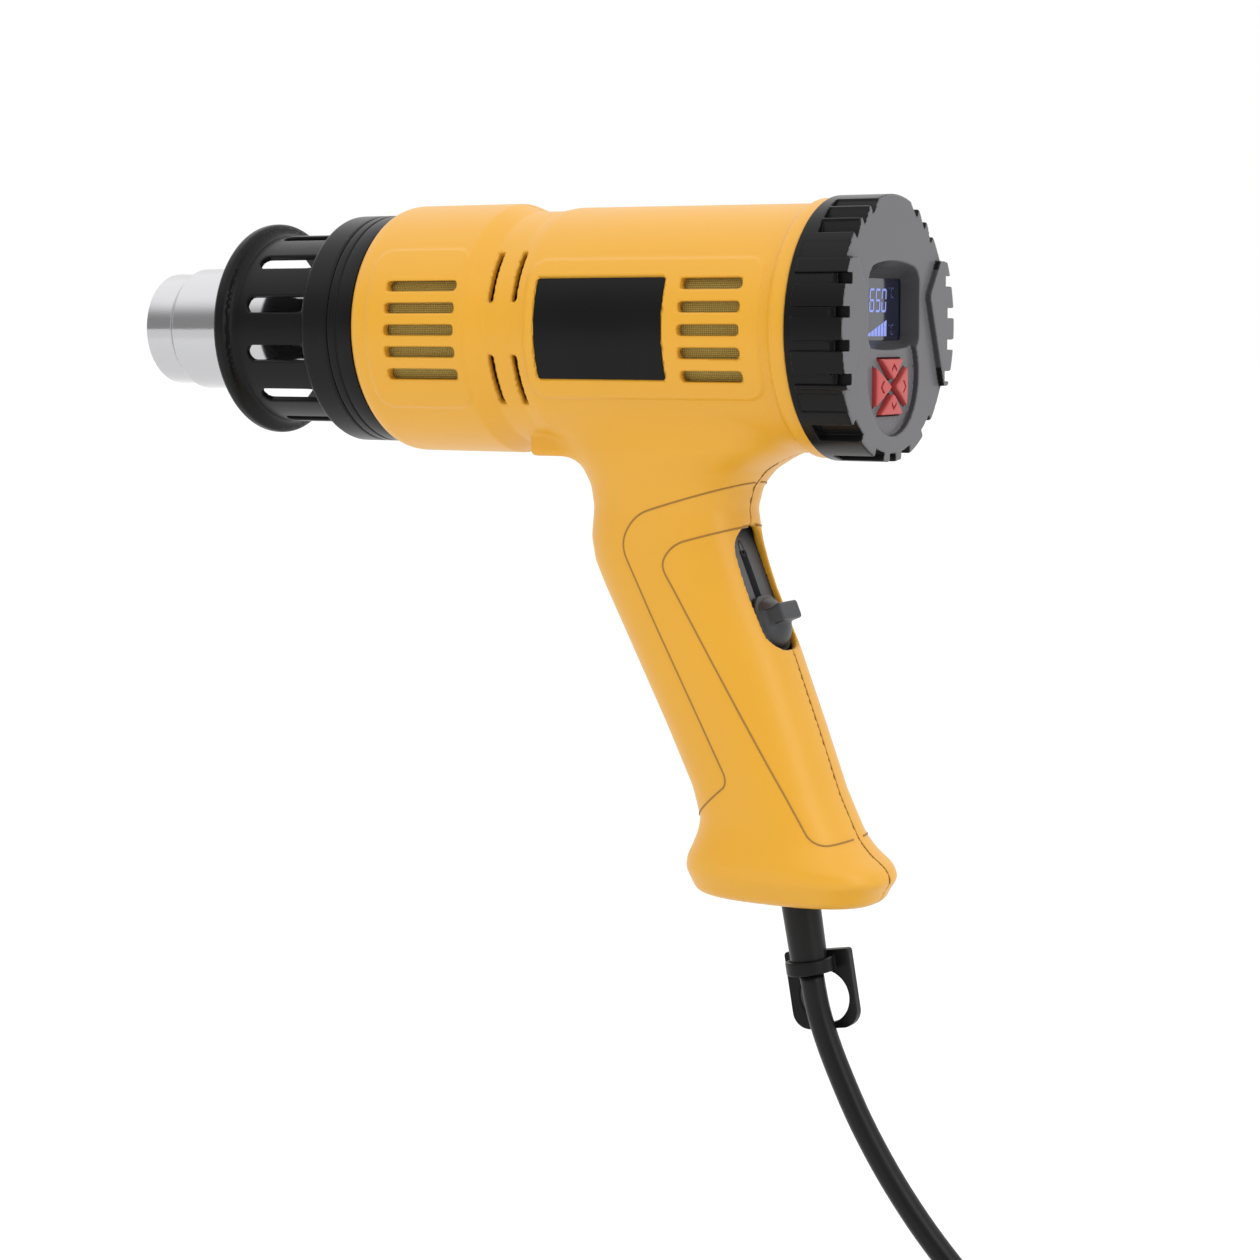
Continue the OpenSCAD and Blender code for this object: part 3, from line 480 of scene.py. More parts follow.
def wall_f(x, y, z, side):
    zz_ = z - AZ
    r = np.sqrt(y * y + zz_ * zz_)
    out = outer_f(x, y, z)
    Ri = np.interp(x, ri_x, ri_r)
    inner = r - Ri
    g = smax(grip_f(x, y, z, 2.6), -66.4 - z, 1.5)
    g = np.maximum(g, z - 74)
    inner = np.minimum(inner, g)
    f = np.maximum(out, -inner)
    # bosses for the screws
    boss = None
    for bx_, bz_ in SCREWS:
        d = np.hypot(x - bx_, z - bz_)
        d = np.maximum(d - 4.2, 1.2 - d) if side < 0 else d - 4.2
        boss = d if boss is None else np.minimum(boss, d)
    boss = np.maximum(np.maximum(boss, out + 1.0), np.where((x > -70) & (x < 60), 23.6 - r, -1))
    f = np.minimum(f, boss)
    s = np.arctan2(zz_, np.abs(y) + 1e-6) * 35.9
    # label pocket
    pocket = np.maximum(rrect(x + 20.7, s, 21.1, 14.9, 0.9), 35.4 - r)
    f = smax(f, -pocket, 0.3)
    # cooling slots
    v = None
    for xc, hx in ((-80.15, 12.25), (14.9, 9.7)):
        for i in range(5):
            d = rrect(x - xc, z - (94.6 + (i - 2) * 6.4), hx, 1.5, 1.1)
            v = d if v is None else np.minimum(v, d)
    v = np.maximum(v, 25 - np.abs(y))
    f = smax(f, -v, 0.5)
    # curved slots of the waist
    for xw in (-57.4, -49.3):
        for sg in (-1, 1):
            d = rrect(x - xw, s - sg * 26 * 36 / 57.2958, 0.95, 8.4, 0.9)
            f = smax(f, -np.maximum(d, 20 - np.abs(y)), 0.3)
    # opening of the slide switch
    n, t = switch_uv(x, z)
    d = rrect(t, y, 19, 9, 7.5)
    f = smax(f, -np.maximum(d, -20 - n), 1.1)
    d = np.maximum(np.maximum(rrect(t, y, 20.6, 10.2, 1.0), n + 4.2), -22 - n)
    f = np.maximum(f, -np.maximum(d, out + 1.5))
    # outlet of the lead
    dx, dz = x - 26.9, z + 69.2
    al = dx * sb - dz * cb
    rad = np.sqrt((dx * cb + dz * sb) ** 2 + y * y)
    f = smax(f, -np.maximum(rad - 5.9, np.abs(al + 4) - 8), 0.5)
    if side > 0:
        for bx_, bz_ in SCREWS:
            d = np.hypot(x - bx_, z - bz_)
            f = np.maximum(f, -np.maximum(d - 3.1, 8.8 - y))
            f = np.maximum(f, -np.maximum(d - 1.6, 0 - y))
    return f


cell = 0.88
for side, nm in ((-1, "left"), (1, "right")):
    def half(x, y, z, side=side):
        return smax(wall_f(x, y, z, side), 0.02 - side * y, 0.12)
    xs = spaced((-108.2, cell), (40.6, cell), (57.5, 0.9), (58.4, 0))
    ys = spaced((-1.1, 0.55), (2.2, cell), (39.4, 0))
    if side < 0:
        ys = -ys[::-1]
    zs = spaced((-71.2, cell), (133.8, 0))
    me = surface("housing_" + nm, half, xs, ys, zs, steps=6)
    print("HOUSING", nm, len(me.polygons) * 2)
    piece("housing_" + nm, me, "root", "housing_yellow", M["housing_yellow"], nm + "_shell")

# ---------------------------------------------------------------- turned pieces
def lathe(name, prof, seg=128, fil=0.35, closed=True):
    """ring solid from [x, radius] corners round the barrel axis, with each corner rounded"""
    P = np.array(prof, float)
    n = len(P)
    out = []
    for i in range(n):
        a, b, c = P[i - 1], P[i], P[(i + 1) % n]
        la, lc = np.linalg.norm(a - b), np.linalg.norm(c - b)
        d = min(fil, la * 0.45, lc * 0.45)
        p, q = b + (a - b) / la * d, b + (c - b) / lc * d
        for t in (0, 0.25, 0.5, 0.75, 1):
            out.append((1 - t) ** 2 * p + 2 * t * (1 - t) * b + t * t * q)
    out = np.array(out)
    m = len(out)
    vs = []
    for k in range(seg):
        an = 2 * math.pi * k / seg
        for x, r in out:
            vs.append((x * MM, r * math.cos(an) * MM, (AZ + r * math.sin(an)) * MM))
    fs = []
    for k in range(seg):
        for i in range(m):
            j = (i + 1) % m
            kk = (k + 1) % seg
            fs.append((k * m + i, kk * m + i, kk * m + j, k * m + j))
    me = bpy.data.meshes.new(name)
    me.from_pydata(vs, [], fs)
    me.update()
    import bmesh
    bm = bmesh.new(); bm.from_mesh(me); bmesh.ops.recalc_face_normals(bm, faces=bm.faces); bm.to_mesh(me); bm.free()
    me.polygons.foreach_set("use_smooth", np.ones(len(me.polygons), bool))
    return me


SEG = 192
me = lathe("nozzle", [(-198.4, 16.7), (-198.4, 17.5), (-188.6, 17.5), (-187.5, 18.3), (-186.6, 19.1), (-98.5, 19.1), (-98.5, 30), (-97.5, 30),
                      (-97.5, 18.3), (-186.2, 18.3), (-187.9, 16.7)], SEG, 0.45)
piece("nozzle", me, "root", "nozzle_steel", M["nozzle_steel"], "nozzle_tube")
me = lathe("collar", [(-115.3, 24), (-115.3, 34.1), (-114.8, 34.6), (-112.4, 34.6), (-112.2, 34.25), (-111.8, 34.25), (-111.6, 34.6), (-106.5, 34.6), (-106.5, 31.1), (-101.1, 31.1),
                      (-101.1, 34.5), (-98.5, 34.5), (-98.5, 24)], SEG, 0.3)
piece("collar", me, "root", "guard_black", M["guard_black"], "guard_collar")

gx = np.array([-160, -159.4, -158.4, -156.6, -155.6, -155.3, -154, -127.4, -125.4, -124.2, -115.7, -115.3])
gr = np.array([31.6, 32.4, 32.8, 32.8, 31.9, 30.6, 29.1, 29.1, 33.4, 34.6, 34.6, 34.2])


def guard_f(x, y, z):
    z_ = z - AZ
    r = np.sqrt(y * y + z_ * z_)
    f = smax(r - round_r(x, gx, gr, 0.4), -160 - x, 0.5)
    f = smax(f, x + 115.3, 0.3)
    f = smax(f, 27.1 - r, 0.4)
    an = np.degrees(np.arctan2(z_, y)) - 15.0
    an = (an + 15.0) % 30.0 - 15.0
    d = rrect(x + 139.0, np.radians(an) * 28.5, 9.4 + 1.6, 2.5, 2.45)
    f = smax(f, -np.maximum(d, 20 - r), 0.5)
    return f


g = 0.6
me = surface("guard", guard_f, spaced((-161, 0.5), (-153, g), (-114.6, 0)), spaced((-36, g), (36, 0)), spaced((AZ - 36, g), (AZ + 36, 0)), 4)
print("GUARD", len(me.polygons) * 2)
piece("guard", me, "root", "guard_black", M["guard_black"], "heat_guard")

# ---------------------------------------------------------------- rear cap
def poly_sd(u, v, pts):
    """signed distance to a convex polygon, corners anticlockwise"""
    d = None
    n = len(pts)
    for i in range(n):
        (ax, ay), (bx, by) = pts[i], pts[(i + 1) % n]
        L = math.hypot(bx - ax, by - ay)
        q = ((u - ax) * (by - ay) - (v - ay) * (bx - ax)) / L
        d = q if d is None else np.maximum(d, q)
    return d


BZ = 78.8
def key_sd(k, y, z, g):
    v = z - BZ
    if k == 0:
        p = [(0.5 + g * 0.5, 2.2 - g), (7.5 + g * 2, 7.8 + g), (-7.5 - g * 2, 7.8 + g), (-0.5 - g * 0.5, 2.2 - g)]
    elif k == 2:
        p = [(-0.5 - g * 0.5, -2.2 + g), (-7.5 - g * 2, -7.8 - g), (7.5 + g * 2, -7.8 - g), (0.5 + g * 0.5, -2.2 + g)]
    elif k == 1:
        p = [(-1.9 + g, -0.4 - g * 0.5), (-1.9 + g, 0.4 + g * 0.5), (-10.3 - g, 5.5 + g * 1.5), (-10.3 - g, -5.5 - g * 1.5)]
    else:
        p = [(1.9 - g, 0.4 + g * 0.5), (1.9 - g, -0.4 - g * 0.5), (10.3 + g, -5.5 - g * 1.5), (10.3 + g, 5.5 + g * 1.5)]
    return poly_sd(y, v, p)


cx_ = np.array([30, 39, 39.01, 53.9, 55.2, 60])
cr_ = np.array([33.0, 33.0, 37.3, 37.3, 36.2, 36.2])


def cap_f(x, y, z):
    z_ = z - AZ
    ay = np.abs(y)
    r = np.sqrt(y * y + z_ * z_)
    an = np.degrees(np.arctan2(ay, z_))          # 0 at the top, 180 at the bottom
    R = np.where(x < 39, 33.0, 37.3)
    # round rim, with rounded edges at the face and at the front
    f = smax(smax(r - np.where(x < 39, 33.0, 37.3), x - 55.2, 0.9), 33.2 - x, 0.3)
    # raised blocks on both sides
    blk = poly_sd(ay, z_, [(21, 8.2), (31.1, -16.5), (46, -16.5), (46, 19.3), (27.8, 19.3), (21, 9.9)])
    blk = smax(smax(blk, r - 37.9, 0.5), x - 57.0, 0.5)
    blk = smax(blk, 41 - x, 0.4)
    f = smin(f, blk, 0.15)
    # teeth: notch at the face edge and a shallow channel along the rim
    for zc in (13.6, 4.5, -4.6, -13.7):
        dep = 33.2 if abs(zc) < 9 else 31.6
        d = np.maximum(np.maximum(np.abs(z_ - zc) - 1.45, dep - ay), 52.6 - x)
        f = smax(f, -d, 0.25)
        d = np.maximum(np.maximum(np.abs(z_ - zc) - 1.45, 37.35 - r), 41.0 - x)
        d = np.maximum(d, 20 - ay)
        f = smax(f, -d, 0.2)
    # small steps of the rim above and below the blocks
    for c, w in ((55.0, 3.0), (123.0, 3.0)):
        d = np.maximum(np.maximum(np.abs(an - c) * 0.65 - w, 36.95 - r), 41.0 - x)
        f = smax(f, -d, 0.25)
    # three stepped louvres on each side of the upper rim, open at the face
    fr_ = np.mod(an - 16.0, 10.0) / 10.0
    saw = 37.2 - 2.5 * np.clip(fr_ * 1.25, 0, 1)
    d = np.maximum(saw - r, (np.abs(fr_ - 0.54) - 0.40) * 6.4)
    d = np.maximum(np.maximum(d, np.abs(an - 31.0) * 0.65 - 9.7), 42.4 + (an - 16.0) * 0.06 - x)
    f = smax(f, -d, 0.2)
    # pockets of the lower rim, open at the face
    for c, w in ((140.5, 3.5), (166.0, 3.0), (180.0, 2.0)):
        d = np.maximum(np.maximum(np.abs((an - c) * 0.65) - w, 34.9 - r), 42.4 - x)
        f = smax(f, -d, 0.3)
    # hollow behind the panel, frame of the window
    hol = np.maximum(r - 30.6, x - 51.0)
    fr = rbox(x, y, z, (48.6, -18, 90), (53, 18, 110.8), 0.2)
    f = np.maximum(f, -np.maximum(hol, -fr))
    d = np.maximum(np.maximum(np.maximum(np.abs(y) - 16.7, 91.5 - z), z - 109.3), x - 49.5)
    f = np.maximum(f, -d)
    # display recess: walls lean outwards to the face, arched at the top
    t = np.clip((x - 49.5) / 5.7, 0, 1.2)
    hw = 15.6 + 1.6 * t
    top = 108.8 + 5.4 * t - (y / 17.0) ** 2 * 2.6 * t
    bot = 92.0 - 4.6 * t + (y / 17.0) ** 2 * 2.2 * t
    d = rrect(y, z - (top + bot) / 2, hw, (top - bot) / 2, 1.2 + 3.0 * t)
    f = smax(f, -np.maximum(d, 49.0 - x), 0.45)
    # round dish of the keys
    rad = np.sqrt(y * y + (z - 82.0) ** 2)
    d = np.maximum(np.maximum(rad - 17.0, 53.4 - x), z - 90.5)
    f = smax(f, -d, 0.5)
    for k in range(4):
        f = smax(f, -np.maximum(key_sd(k, y, z, 0.28), 45 - x), 0.15)
    return f


g = 0.5
me = surface("cap", cap_f, spaced((32.4, 0.7), (40, g), (57.8, 0)), spaced((-38.8, g), (38.8, 0)), spaced((AZ - 38.8, g), (AZ + 38.8, 0)), 5)
print("CAP", len(me.polygons) * 2)
piece("cap", me, "root", "cap_black", M["cap_black"], "rear_cap")

# ---------------------------------------------------------------- keys
KEYS = ["up", "left", "down", "right"]
for k, nm in enumerate(KEYS):
    def key_f(x, y, z, k=k):
        d = key_sd(k, y, z, 0.0)
        # crowned top that falls to the outer edge
        top = 55.25 - 0.010 * (y * y + (z - BZ) ** 2) * 0.5
        f = smax(d + 0.25, x - top, 0.7) - 0.25
        fl = np.maximum(key_sd(k, y, z, 0.45), np.maximum(x - 50.95, 50.0 - x))
        f = smin(f, fl, 0.1)
        # small sunk chevron, pointing away from the middle
        cyy, czz = [(0, BZ + 5.6), (-7.6, BZ), (0, BZ - 5.6), (7.6, BZ)][k]
        u, v = y - cyy, z - czz
        if k == 2: v = -v
        if k == 1: u, v = v, -u
        if k == 3: u, v = v, u
        ch = np.maximum(np.abs(v + np.abs(u) * 0.9 - 0.5) - 0.5, np.abs(u) - 1.7)
        f = smax(f, -np.maximum(ch, 54.45 - x), 0.08)
        return smax(f, 50.0 - x, 0.1)
    lim = [(-11.5, 11.5, 0.2, 8.8), (-13.6, -0.6, -8.5, 8.5), (-11.5, 11.5, -8.8, -0.2), (0.6, 13.6, -8.5, 8.5)][k]
    g = 0.22
    me = surface("key_" + nm, key_f, spaced((49.4, g), (56.2, 0)), spaced((lim[0] - 0.6, g), (lim[1] + 0.6, 0)), spaced((BZ + lim[2] - 0.6, g), (BZ + lim[3] + 0.6, 0)), 5)
    piece("key_cap_" + nm, me, "key_" + nm, "button_red", M["button_red"], "button_" + nm)

# ---------------------------------------------------------------- display figures
def plates(name, quads, x, thick=0.06):
    """thin raised plates on the window, each a convex outline in (y, z)"""
    vs, fs = [], []
    for q in quads:
        n = len(q); base = len(vs)
        for xx in (x, x + thick):
            for (yy, zz_) in q:
                vs.append((xx * MM, yy * MM, zz_ * MM))
        fs.append(tuple(base + i for i in range(n))[::-1])
        fs.append(tuple(base + n + i for i in range(n)))
        for i in range(n):
            j = (i + 1) % n
            fs.append((base + i, base + j, base + n + j, base + n + i))
    me = bpy.data.meshes.new(name)
    me.from_pydata(vs, [], fs); me.update()
    import bmesh
    bm = bmesh.new(); bm.from_mesh(me); bmesh.ops.recalc_face_normals(bm, faces=bm.faces); bm.to_mesh(me); bm.free()
    return me


def segments(ch, y0, z0, w, h, s):
    """seven-segment figure: lower left corner, width, height, stroke; leaning a little"""
    on = {"0": "abcdef", "5": "acdfg", "6": "acdefg", "C": "adef", "F": "aefg"}[ch]
    m = z0 + h / 2
    gp = s * 0.12
    hor = lambda zc: [(y0 + gp + s * .3, zc), (y0 + s * .8, zc + s / 2), (y0 + w - s * .8, zc + s / 2), (y0 + w - gp - s * .3, zc), (y0 + w - s * .8, zc - s / 2), (y0 + s * .8, zc - s / 2)]
    ver = lambda yc, a, b: [(yc, a + gp + s * .3), (yc + s / 2, a + s * .8), (yc + s / 2, b - s * .8), (yc, b - gp - s * .3), (yc - s / 2, b - s * .8), (yc - s / 2, a + s * .8)]
    P = {"a": hor(z0 + h - s / 2), "g": hor(m), "d": hor(z0 + s / 2), "f": ver(y0 + s / 2, m, z0 + h), "e": ver(y0 + s / 2, z0, m),
         "b": ver(y0 + w - s / 2, m, z0 + h), "c": ver(y0 + w - s / 2, z0, m)}
    return [[(yy + (zz_ - z0) * 0.08, zz_) for yy, zz_ in P[c]] for c in on]


figs = []
for i, ch in enumerate("650"):
    figs += segments(ch, -4.9 + i * 4.0, 99.6, 3.2, 6.6, 0.62)
dim = segments("C", 9.6, 103.6, 2.0, 3.0, 0.4) + segments("C", 9.6, 93.2, 2.0, 3.0, 0.4)
dim += [[(8.6 + 0.3 * math.cos(t * math.pi / 4), zz_ + 0.3 * math.sin(t * math.pi / 4)) for t in range(8)] for zz_ in (106.4, 96.0)]
for i in range(6):
    ya = -5.4 + i * 2.1
    figs.append([(ya, 92.9), (ya + 1.75, 92.9), (ya + 1.75, 93.5 + 0.66 * (i + 1)), (ya, 93.5 + 0.66 * i)])
me = plates("display_figures", figs, 49.52)
piece("display_figures", me, "root", "lcd_face", M["lcd_lit"])
piece("display_signs", plates("display_signs", dim, 49.52), "root", "lcd_face", M["lcd_dim"])

# ---------------------------------------------------------------- slide switch knob
def at_sw(n, y, t):
    return ((16.3 + n * ct - t * st) * MM, y * MM, (20.5 + n * st + t * ct) * MM)


def knob_f(n, y, t):
    base = np.maximum(rrect(t + 10, y, 8.5, 8.4, 6.4), 0)
    base = smax(rrect(t + 10, y, 8.5, 8.4, 6.4), np.abs(n + 3.25) - 0.85, 0.25)
    dome = np.sqrt((n + 7.0) ** 2 + y * y + (t + 10) ** 2) - 9.2
    dome = smax(smax(dome, -4.0 - n, 0.2), np.sqrt(y * y + (t + 10) ** 2) - 7.9, 0.3)
    f = smin(base, dome, 0.4)
    # thumb tab, waisted on its upper face
    lower = -11.0
    upper = -5.2 - 0.9 * np.cos(np.clip((n + 0.6) / 3.6, -1.57, 1.57)) * (n > -4)
    tab = smax(smax(lower - t, t - upper, 0.8), np.abs(y) - 6.0, 0.9)
    tab = smax(smax(tab, n - 4.3, 0.9), -4.0 - n, 0.2)
    f = smin(f, tab, 0.8)
    nub = rbox(n, y, t, (-7.6, -1.7, -12), (-3.0, 1.7, -8), 0.3)
    return smin(f, nub, 0.2)


g = 0.34
me = surface("switch_knob", knob_f, spaced((-8.2, g), (5.0, 0)), spaced((-9.2, g), (9.2, 0)), spaced((-19.4, g), (-0.6, 0)), 5)
co = np.zeros(len(me.vertices) * 3); me.vertices.foreach_get("co", co); co = co.reshape(-1, 3) / MM
nor = np.zeros(len(me.vertices) * 3, np.float32); me.vertices.foreach_get("normal", nor)
new = np.stack([16.3 + co[:, 0] * ct - co[:, 2] * st, co[:, 1], 20.5 + co[:, 0] * st + co[:, 2] * ct], 1) * MM
faces = [tuple(p.vertices) for p in me.polygons]
me2 = bpy.data.meshes.new("switch_knob"); me2.from_pydata(new.tolist(), [], faces); me2.update()
me2.polygons.foreach_set("use_smooth", np.ones(len(me2.polygons), bool))
piece("switch_knob", me2, "switch", "slider_black", M["slider_black"], "switch_slider")

# ring mark on the plate under the knob
vs, fs = [], []
N = 32
for i in range(N):
    an = 2 * math.pi * i / N
    for (ra, rb) in ((0.9, 2.0), (1.35, 2.5)):
        for n in (-4.2, -4.135):
            vs.append(at_sw(n, ra * math.cos(an), 13.6 + rb * math.sin(an)))
for i in range(N):
    j = (i + 1) % N
    a0, a1, b0, b1 = [i * 4 + k for k in (0, 1, 2, 3)]
    c0, c1, d0, d1 = [j * 4 + k for k in (0, 1, 2, 3)]
    fs += [(a1, b1, d1, c1), (a0, a1, c1, c0), (b1, b0, d0, d1), (b0, a0, c0, d0)]
me = bpy.data.meshes.new("plate_mark"); me.from_pydata(vs, [], fs); me.update()
piece("plate_mark", me, "root", "label_black", M["label_black"])

# ---------------------------------------------------------------- lines of the grip
def on_side(x, z, side, lo=0.0, hi=40.0):
    """y of the housing's side at (x, z)"""
    a, b = lo, hi
    for _ in range(26):
        m = (a + b) / 2
        v = float(outer_f(np.array([x], float), np.array([m], float), np.array([z], float))[0])
        if v < 0: a = m
        else: b = m
    return side * (a + b) / 2


def rounded(pts, rad, step=1.2):
    """corners of a line in the plane replaced by arcs"""
    P = [np.array(p, float) for p in pts]
    out = [P[0]]
    for i in range(1, len(P) - 1):
        a, b, c = P[i - 1], P[i], P[i + 1]
        la, lc = np.linalg.norm(a - b), np.linalg.norm(c - b)
        d = min(rad, la * 0.48, lc * 0.48)
        p, q = b + (a - b) / la * d, b + (c - b) / lc * d
        for t in np.linspace(0, 1, 7):
            out.append((1 - t) ** 2 * p + 2 * t * (1 - t) * b + t * t * q)
    out.append(P[-1])
    res = [out[0]]
    for p in out[1:]:
        n = max(1, int(np.linalg.norm(p - res[-1]) / step))
        q0 = res[-1]
        for k in range(1, n + 1):
            res.append(q0 + (p - q0) * k / n)
    return res


outer_line = rounded([(34.0, 57.5), (22.6, 54), (-17.3, 41.7), (-23.0, 33.0), (-12, 11.1), (11.8, -32.8), (11.8, -35.5), (-0.5, -45.6), (-2.5, -47.2)], 7.0, 0.4)
inner_line = rounded([(31.0, 44.0), (21.6, 41.3), (-5.2, 33.5), (-9.6, 27.6), (37.3, -49.3), (41.1, -51.3), (54.0, -48.4), (60.0, -47.0)], 4.0, 0.4)


def tube(name, pts, rad, body, mat, slot=None):
    return piece(name, tube_mesh(name, pts, rad, 8), body, slot, mat)


# grip lines: dark tubes laid on the sides, painted groove shade in place of carved grooves
for side, nm in ((-1, "left"), (1, "right")):
    for ln, pts_ in (("outer", outer_line), ("inner", inner_line)):
        P = []
        for p in pts_:
            y = on_side(p[0], p[1], side)
            if abs(y) > 1.2:
                P.append((p[0], y - side * 0.05, p[1]))
        if len(P) > 3:
            tube("grip_line_%s_%s" % (ln, nm), P, 0.30, "root", M["seam_line"], "housing_yellow")


def back_x(z):
    a, b = -5.0, 62.0
    for _ in range(26):
        m = (a + b) / 2
        v = float(outer_f(np.array([m], float), np.array([0.0]), np.array([z], float))[0])
        if v < 0: a = m
        else: b = m
    return a


P = []
for z in np.arange(-62.5, 57.5, 1.0):
    n, t = switch_uv(back_x(z), z)
    if abs(t) < 20.6:
        continue
    P.append((back_x(z) - 0.06, 0.0, z))
lowP = [p for p in P if p[2] < 20]
highP = [p for p in P if p[2] > 20]
tube("seam_low", lowP, 0.2, "root", M["seam_line"], "housing_yellow")
tube("seam_high", highP, 0.2, "root", M["seam_line"], "housing_yellow")

# ---------------------------------------------------------------- boot, hanging eye, plug
def at_bt(a, y, l):
    """a forwards (local x), l along the lead"""
    return np.stack([26.9 - a * cb + l * sb, y, -69.2 - a * sb - l * cb], -1)


def remap(me, fn, name):
    co = np.zeros(len(me.vertices) * 3); me.vertices.foreach_get("co", co); co = co.reshape(-1, 3) / MM
    new = fn(co[:, 0], co[:, 1], co[:, 2]) * MM
    faces = [tuple(p.vertices) for p in me.polygons]
    m2 = bpy.data.meshes.new(name); m2.from_pydata(new.tolist(), [], faces); m2.update()
    import bmesh
    bm = bmesh.new(); bm.from_mesh(m2); bmesh.ops.recalc_face_normals(bm, faces=bm.faces); bm.to_mesh(m2); bm.free()
    m2.polygons.foreach_set("use_smooth", np.ones(len(m2.polygons), bool))
    return m2


def boot_f(x, y, z):
    r = np.hypot(x, y)
    R = 5.72 - 0.35 * np.clip((z - 2) / 21, 0, 1)
    f = smax(r - R, z - 22.8, 0.5)
    f = smax(f, -5.2 - z, 0.1)
    fl = smax(r - 7.6, np.abs(z + 6.4) - 1.4, 0.3)
    return smax(smin(f, fl, 0.3), 3.62 - r, 0.2)


g = 0.36
me = surface("boot", boot_f, spaced((-8.2, g), (8.2, 0)), spaced((-8.2, g), (8.2, 0)), spaced((-8.6, g), (23.6, 0)), 5)
piece("boot", remap(me, at_bt, "boot"), "root", "cord_black", M["cord_black"], "cord_boot")


def loop_f(x, y, z):
    r = np.hypot(x, y)
    zl = z - 18.6
    col = smax(r - 7.1, np.abs(zl - 2.0) - 2.0, 0.5)
    out = np.minimum(rrect(x + 0.1, zl - 6.0, 10.5, 7.6, 1.0), rrect(x + 0.1, zl - 11.7, 10.5, 10.0, 5.2))
    pl = smax(out, np.abs(y - 6.05) - 1.75, 0.5)
    f = smin(col, pl, 0.5)
    f = smax(f, -np.maximum(r - 5.72, np.abs(z - 20.0) - 3.2), 0.2)
    hole = np.hypot(x + 0.9, z - 30.7) - 7.9
    f = smax(f, -np.maximum(hole, 2 - y), 0.45)
    return f


me = surface("eye", loop_f, spaced((-11.4, g), (11.4, 0)), spaced((-7.8, g), (8.6, 0)), spaced((16.2, g), (41.2, 0)), 5)
piece("eye", remap(me, at_bt, "eye"), "loop", "loop_black", M["loop_black"], "hang_loop")

PX, PY, PZ = 103.0, 24.3, FLOOR + 7.0


def plug_f(x, y, z):
    u, v = y - PY, z - PZ
    w = 12.0 - 2.2 * step01((x - 128) / -12.0)
    h = 7.0 - 0.6 * step01((x - 128) / -12.0)
    body = smax(rrect(u, v, w, h, 4.0), np.abs(x - (PX + 26)) - 13.0, 2.0)
    grips = None
    for i in range(4):
        d = np.maximum(np.abs(x - (PX + 18 + i * 3.4)) - 0.7, np.where(np.abs(u) > 9.0, 10.9 - np.abs(u), 1.0))
        body = smax(body, -d, 0.3)
    R = 4.4 + (x - PX) / 14 * 1.8
    rel = smax(np.hypot(u, v) - R - 0.2 * np.cos((x - PX) * 2 * math.pi / 3.0), np.maximum(PX - x, x - PX - 15), 0.4)
    f = smin(body, rel, 1.2)
    f = smax(f, FLOOR + 0.02 - z, 0.1)
    return smax(f, -np.maximum(np.hypot(u, v) - 3.62, x - PX - 1.2), 0.1)


g = 0.5
me = surface("plug", plug_f, spaced((PX - 0.8, g), (PX + 40, 0)), spaced((PY - 13, g), (PY + 13, 0)), spaced((FLOOR - 0.8, g), (FLOOR + 14.8, 0)), 4)
plug = piece("plug", me, "root", "cord_black", M["cord_black"], "plug_body")
for s in (-1, 1):
    def blade_f(x, y, z, s=s):
        f = rbox(x, y, z, (PX + 38.6, PY + s * 6.35 - 0.75, FLOOR + 3.8), (PX + 56, PY + s * 6.35 + 0.75, FLOOR + 10.2), 0.3)
        tip = (x - PX - 56) + np.abs(z - PZ) * 0.9 - 2.0
        f = smax(f, (tip + 0.0) * 0.75, 0.3)
        return smax(f, -np.maximum(np.hypot(x - PX - 52, z - PZ) - 1.5, -9), 0.15)
    me = surface("blade", blade_f, spaced((PX + 38, 0.3), (PX + 56.6, 0)), spaced((PY + s * 6.35 - 1.4, 0.25), (PY + s * 6.35 + 1.4, 0)), spaced((FLOOR + 3.2, 0.3), (FLOOR + 10.8, 0)), 4)
    piece("plug_blade_%s" % ("a" if s < 0 else "b"), me, "root", "blade_metal", M["blade_metal"], "plug_blades")

# bevel on the plain carried-over pieces, so that edges catch the light
for n in ("motor_can", "motor_end_cap", "control_board", "heat_sink", "capacitor", "display_board", "switch_plate", "switch_body", "cord_tie",
          "cord_clamp", "label_plate_left", "label_plate_right", "thermal_cutout", "fan_wheel", "fan_housing", "shell_screws", "clamp_screws"):
    o = frame["nodes"][n]
    bv = o.modifiers.new("edge", "BEVEL")
    bv.width = 0.00012; bv.segments = 2; bv.limit_method = "ANGLE"; bv.angle_limit = math.radians(40)

# ---------------------------------------------------------------- floor, light
import bmesh
me = bpy.data.meshes.new("floor")
bm = bmesh.new(); bmesh.ops.create_grid(bm, x_segments=4, y_segments=4, size=20.0); bm.to_mesh(me); bm.free()
floor = bpy.data.objects.new("floor", me); floor.location = (0, 0, FLOOR * MM); sc.collection.objects.link(floor)
fm = bpy.data.materials.new("floor_white"); fm.use_nodes = True
fb = fm.node_tree.nodes["Principled BSDF"]
fb.inputs["Roughness"].default_value = 0.9
fb.inputs["Specular IOR Level"].default_value = 0.0
fb.inputs["Emission Color"].default_value = (1, 1, 1, 1)
fb.inputs["Base Color"].default_value = (0.8, 0.8, 0.8, 1)
fb.inputs["Emission Strength"].default_value = 0.03
me.materials.append(fm)

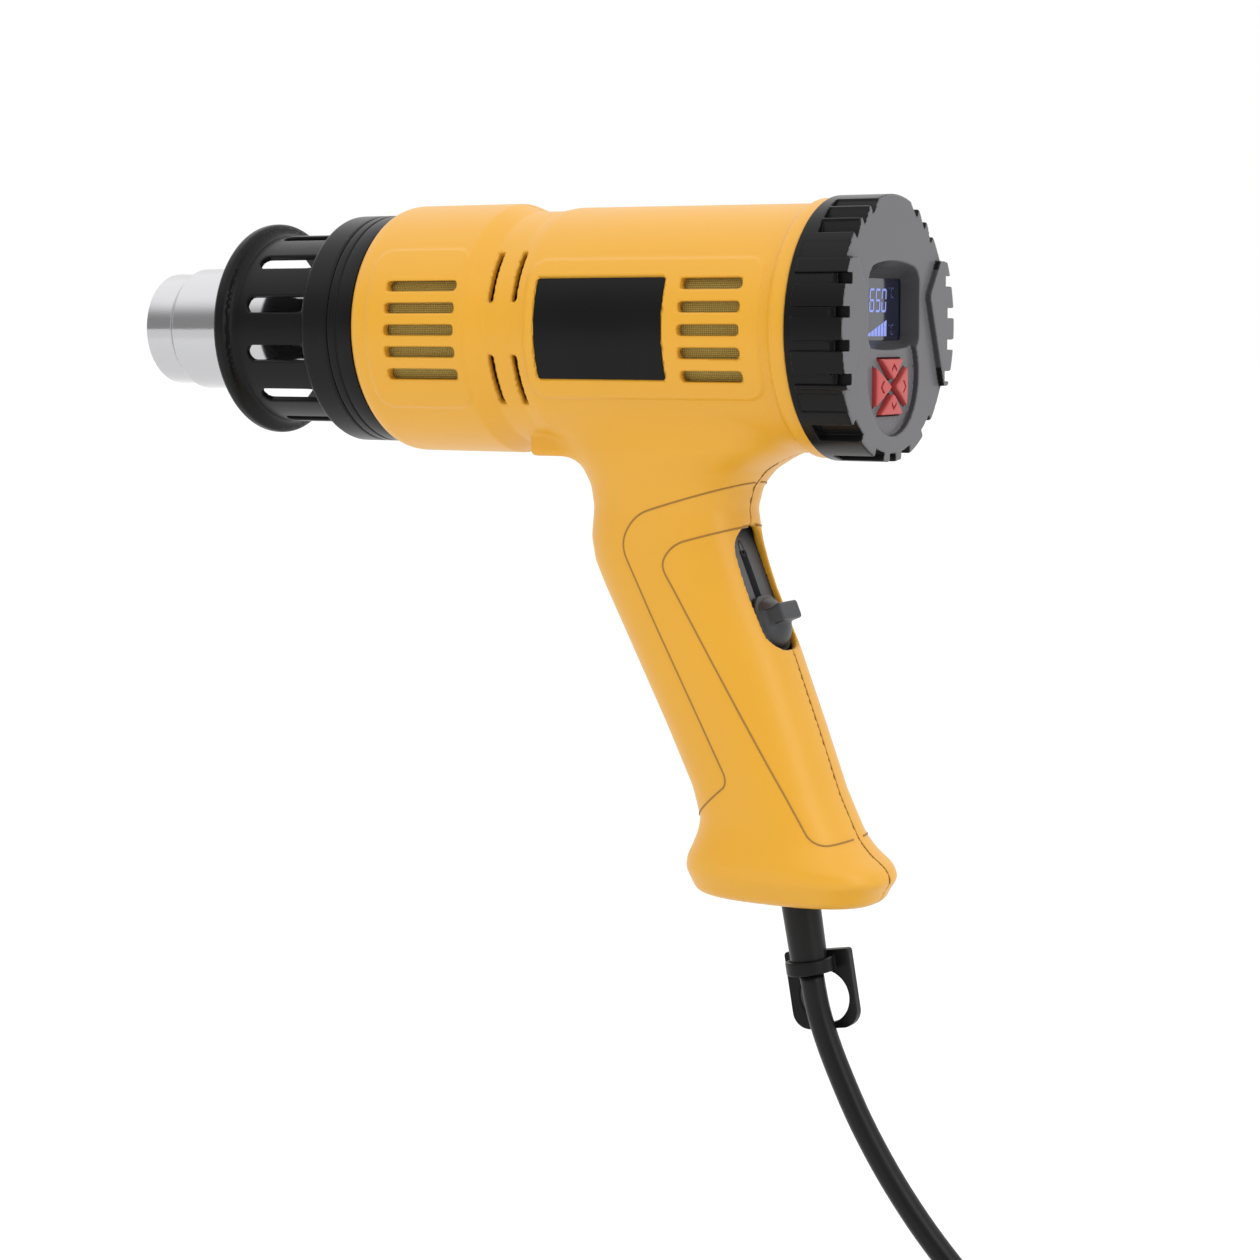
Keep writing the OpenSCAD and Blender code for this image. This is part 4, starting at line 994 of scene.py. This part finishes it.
w = bpy.data.worlds.new("studio"); sc.world = w; w.use_nodes = True
nt = w.node_tree; bg = nt.nodes["Background"]
tc = nt.nodes.new("ShaderNodeTexCoord")
sp = nt.nodes.new("ShaderNodeSeparateXYZ")
nt.links.new(tc.outputs["Generated"], sp.inputs[0])


def ramp(sock, a, b, lo, hi):
    r = nt.nodes.new("ShaderNodeMapRange"); r.interpolation_type = "SMOOTHSTEP"
    for k, v in (("From Min", a), ("From Max", b), ("To Min", lo), ("To Max", hi)):
        r.inputs[k].default_value = v
    nt.links.new(sock, r.inputs["Value"])
    return r.outputs["Result"]


def op(kind, p, q):
    m = nt.nodes.new("ShaderNodeMath"); m.operation = kind
    for k, v in ((0, p), (1, q)):
        if isinstance(v, float):
            m.inputs[k].default_value = v
        else:
            nt.links.new(v, m.inputs[k])
    return m.outputs[0]


# a pale room, greyer in front (-Y), with soft light from above
front = ramp(sp.outputs["Y"], -0.45, 0.1, 0.0, 1.0)      # 0 in front, 1 behind
above = ramp(sp.outputs["Z"], 0.22, 0.75, 0.0, 1.0)      # 1 high up
lit_ = op("MAXIMUM", front, above)
level = op("ADD", ramp(lit_, 0.0, 1.0, 0.42, 1.0), op("MULTIPLY", above, 0.5))
nt.links.new(level, bg.inputs["Strength"])
bg.inputs["Color"].default_value = (1, 1, 1, 1)


def area(name, loc, target, size, power, size_y=None):
    d = bpy.data.lights.new(name, "AREA"); d.energy = power
    d.shape = "RECTANGLE"; d.size = size; d.size_y = size_y or size
    o = bpy.data.objects.new(name, d); sc.collection.objects.link(o)
    o.location = loc
    o.rotation_mode = "QUATERNION"
    o.rotation_quaternion = (Vector(target) - Vector(loc)).to_track_quat("-Z", "Y")
    return o


key_light = area("key", (-0.55, -1.25, 0.30), (0, 0, 0.0), 0.6, 3.5, 0.8)
key_light.visible_glossy = False
area("right", (1.0, -0.35, 0.35), (0.03, 0, 0.0), 0.5, 2.8, 0.8)
sc.view_settings.view_transform = "Standard"
sc.view_settings.look = "None"
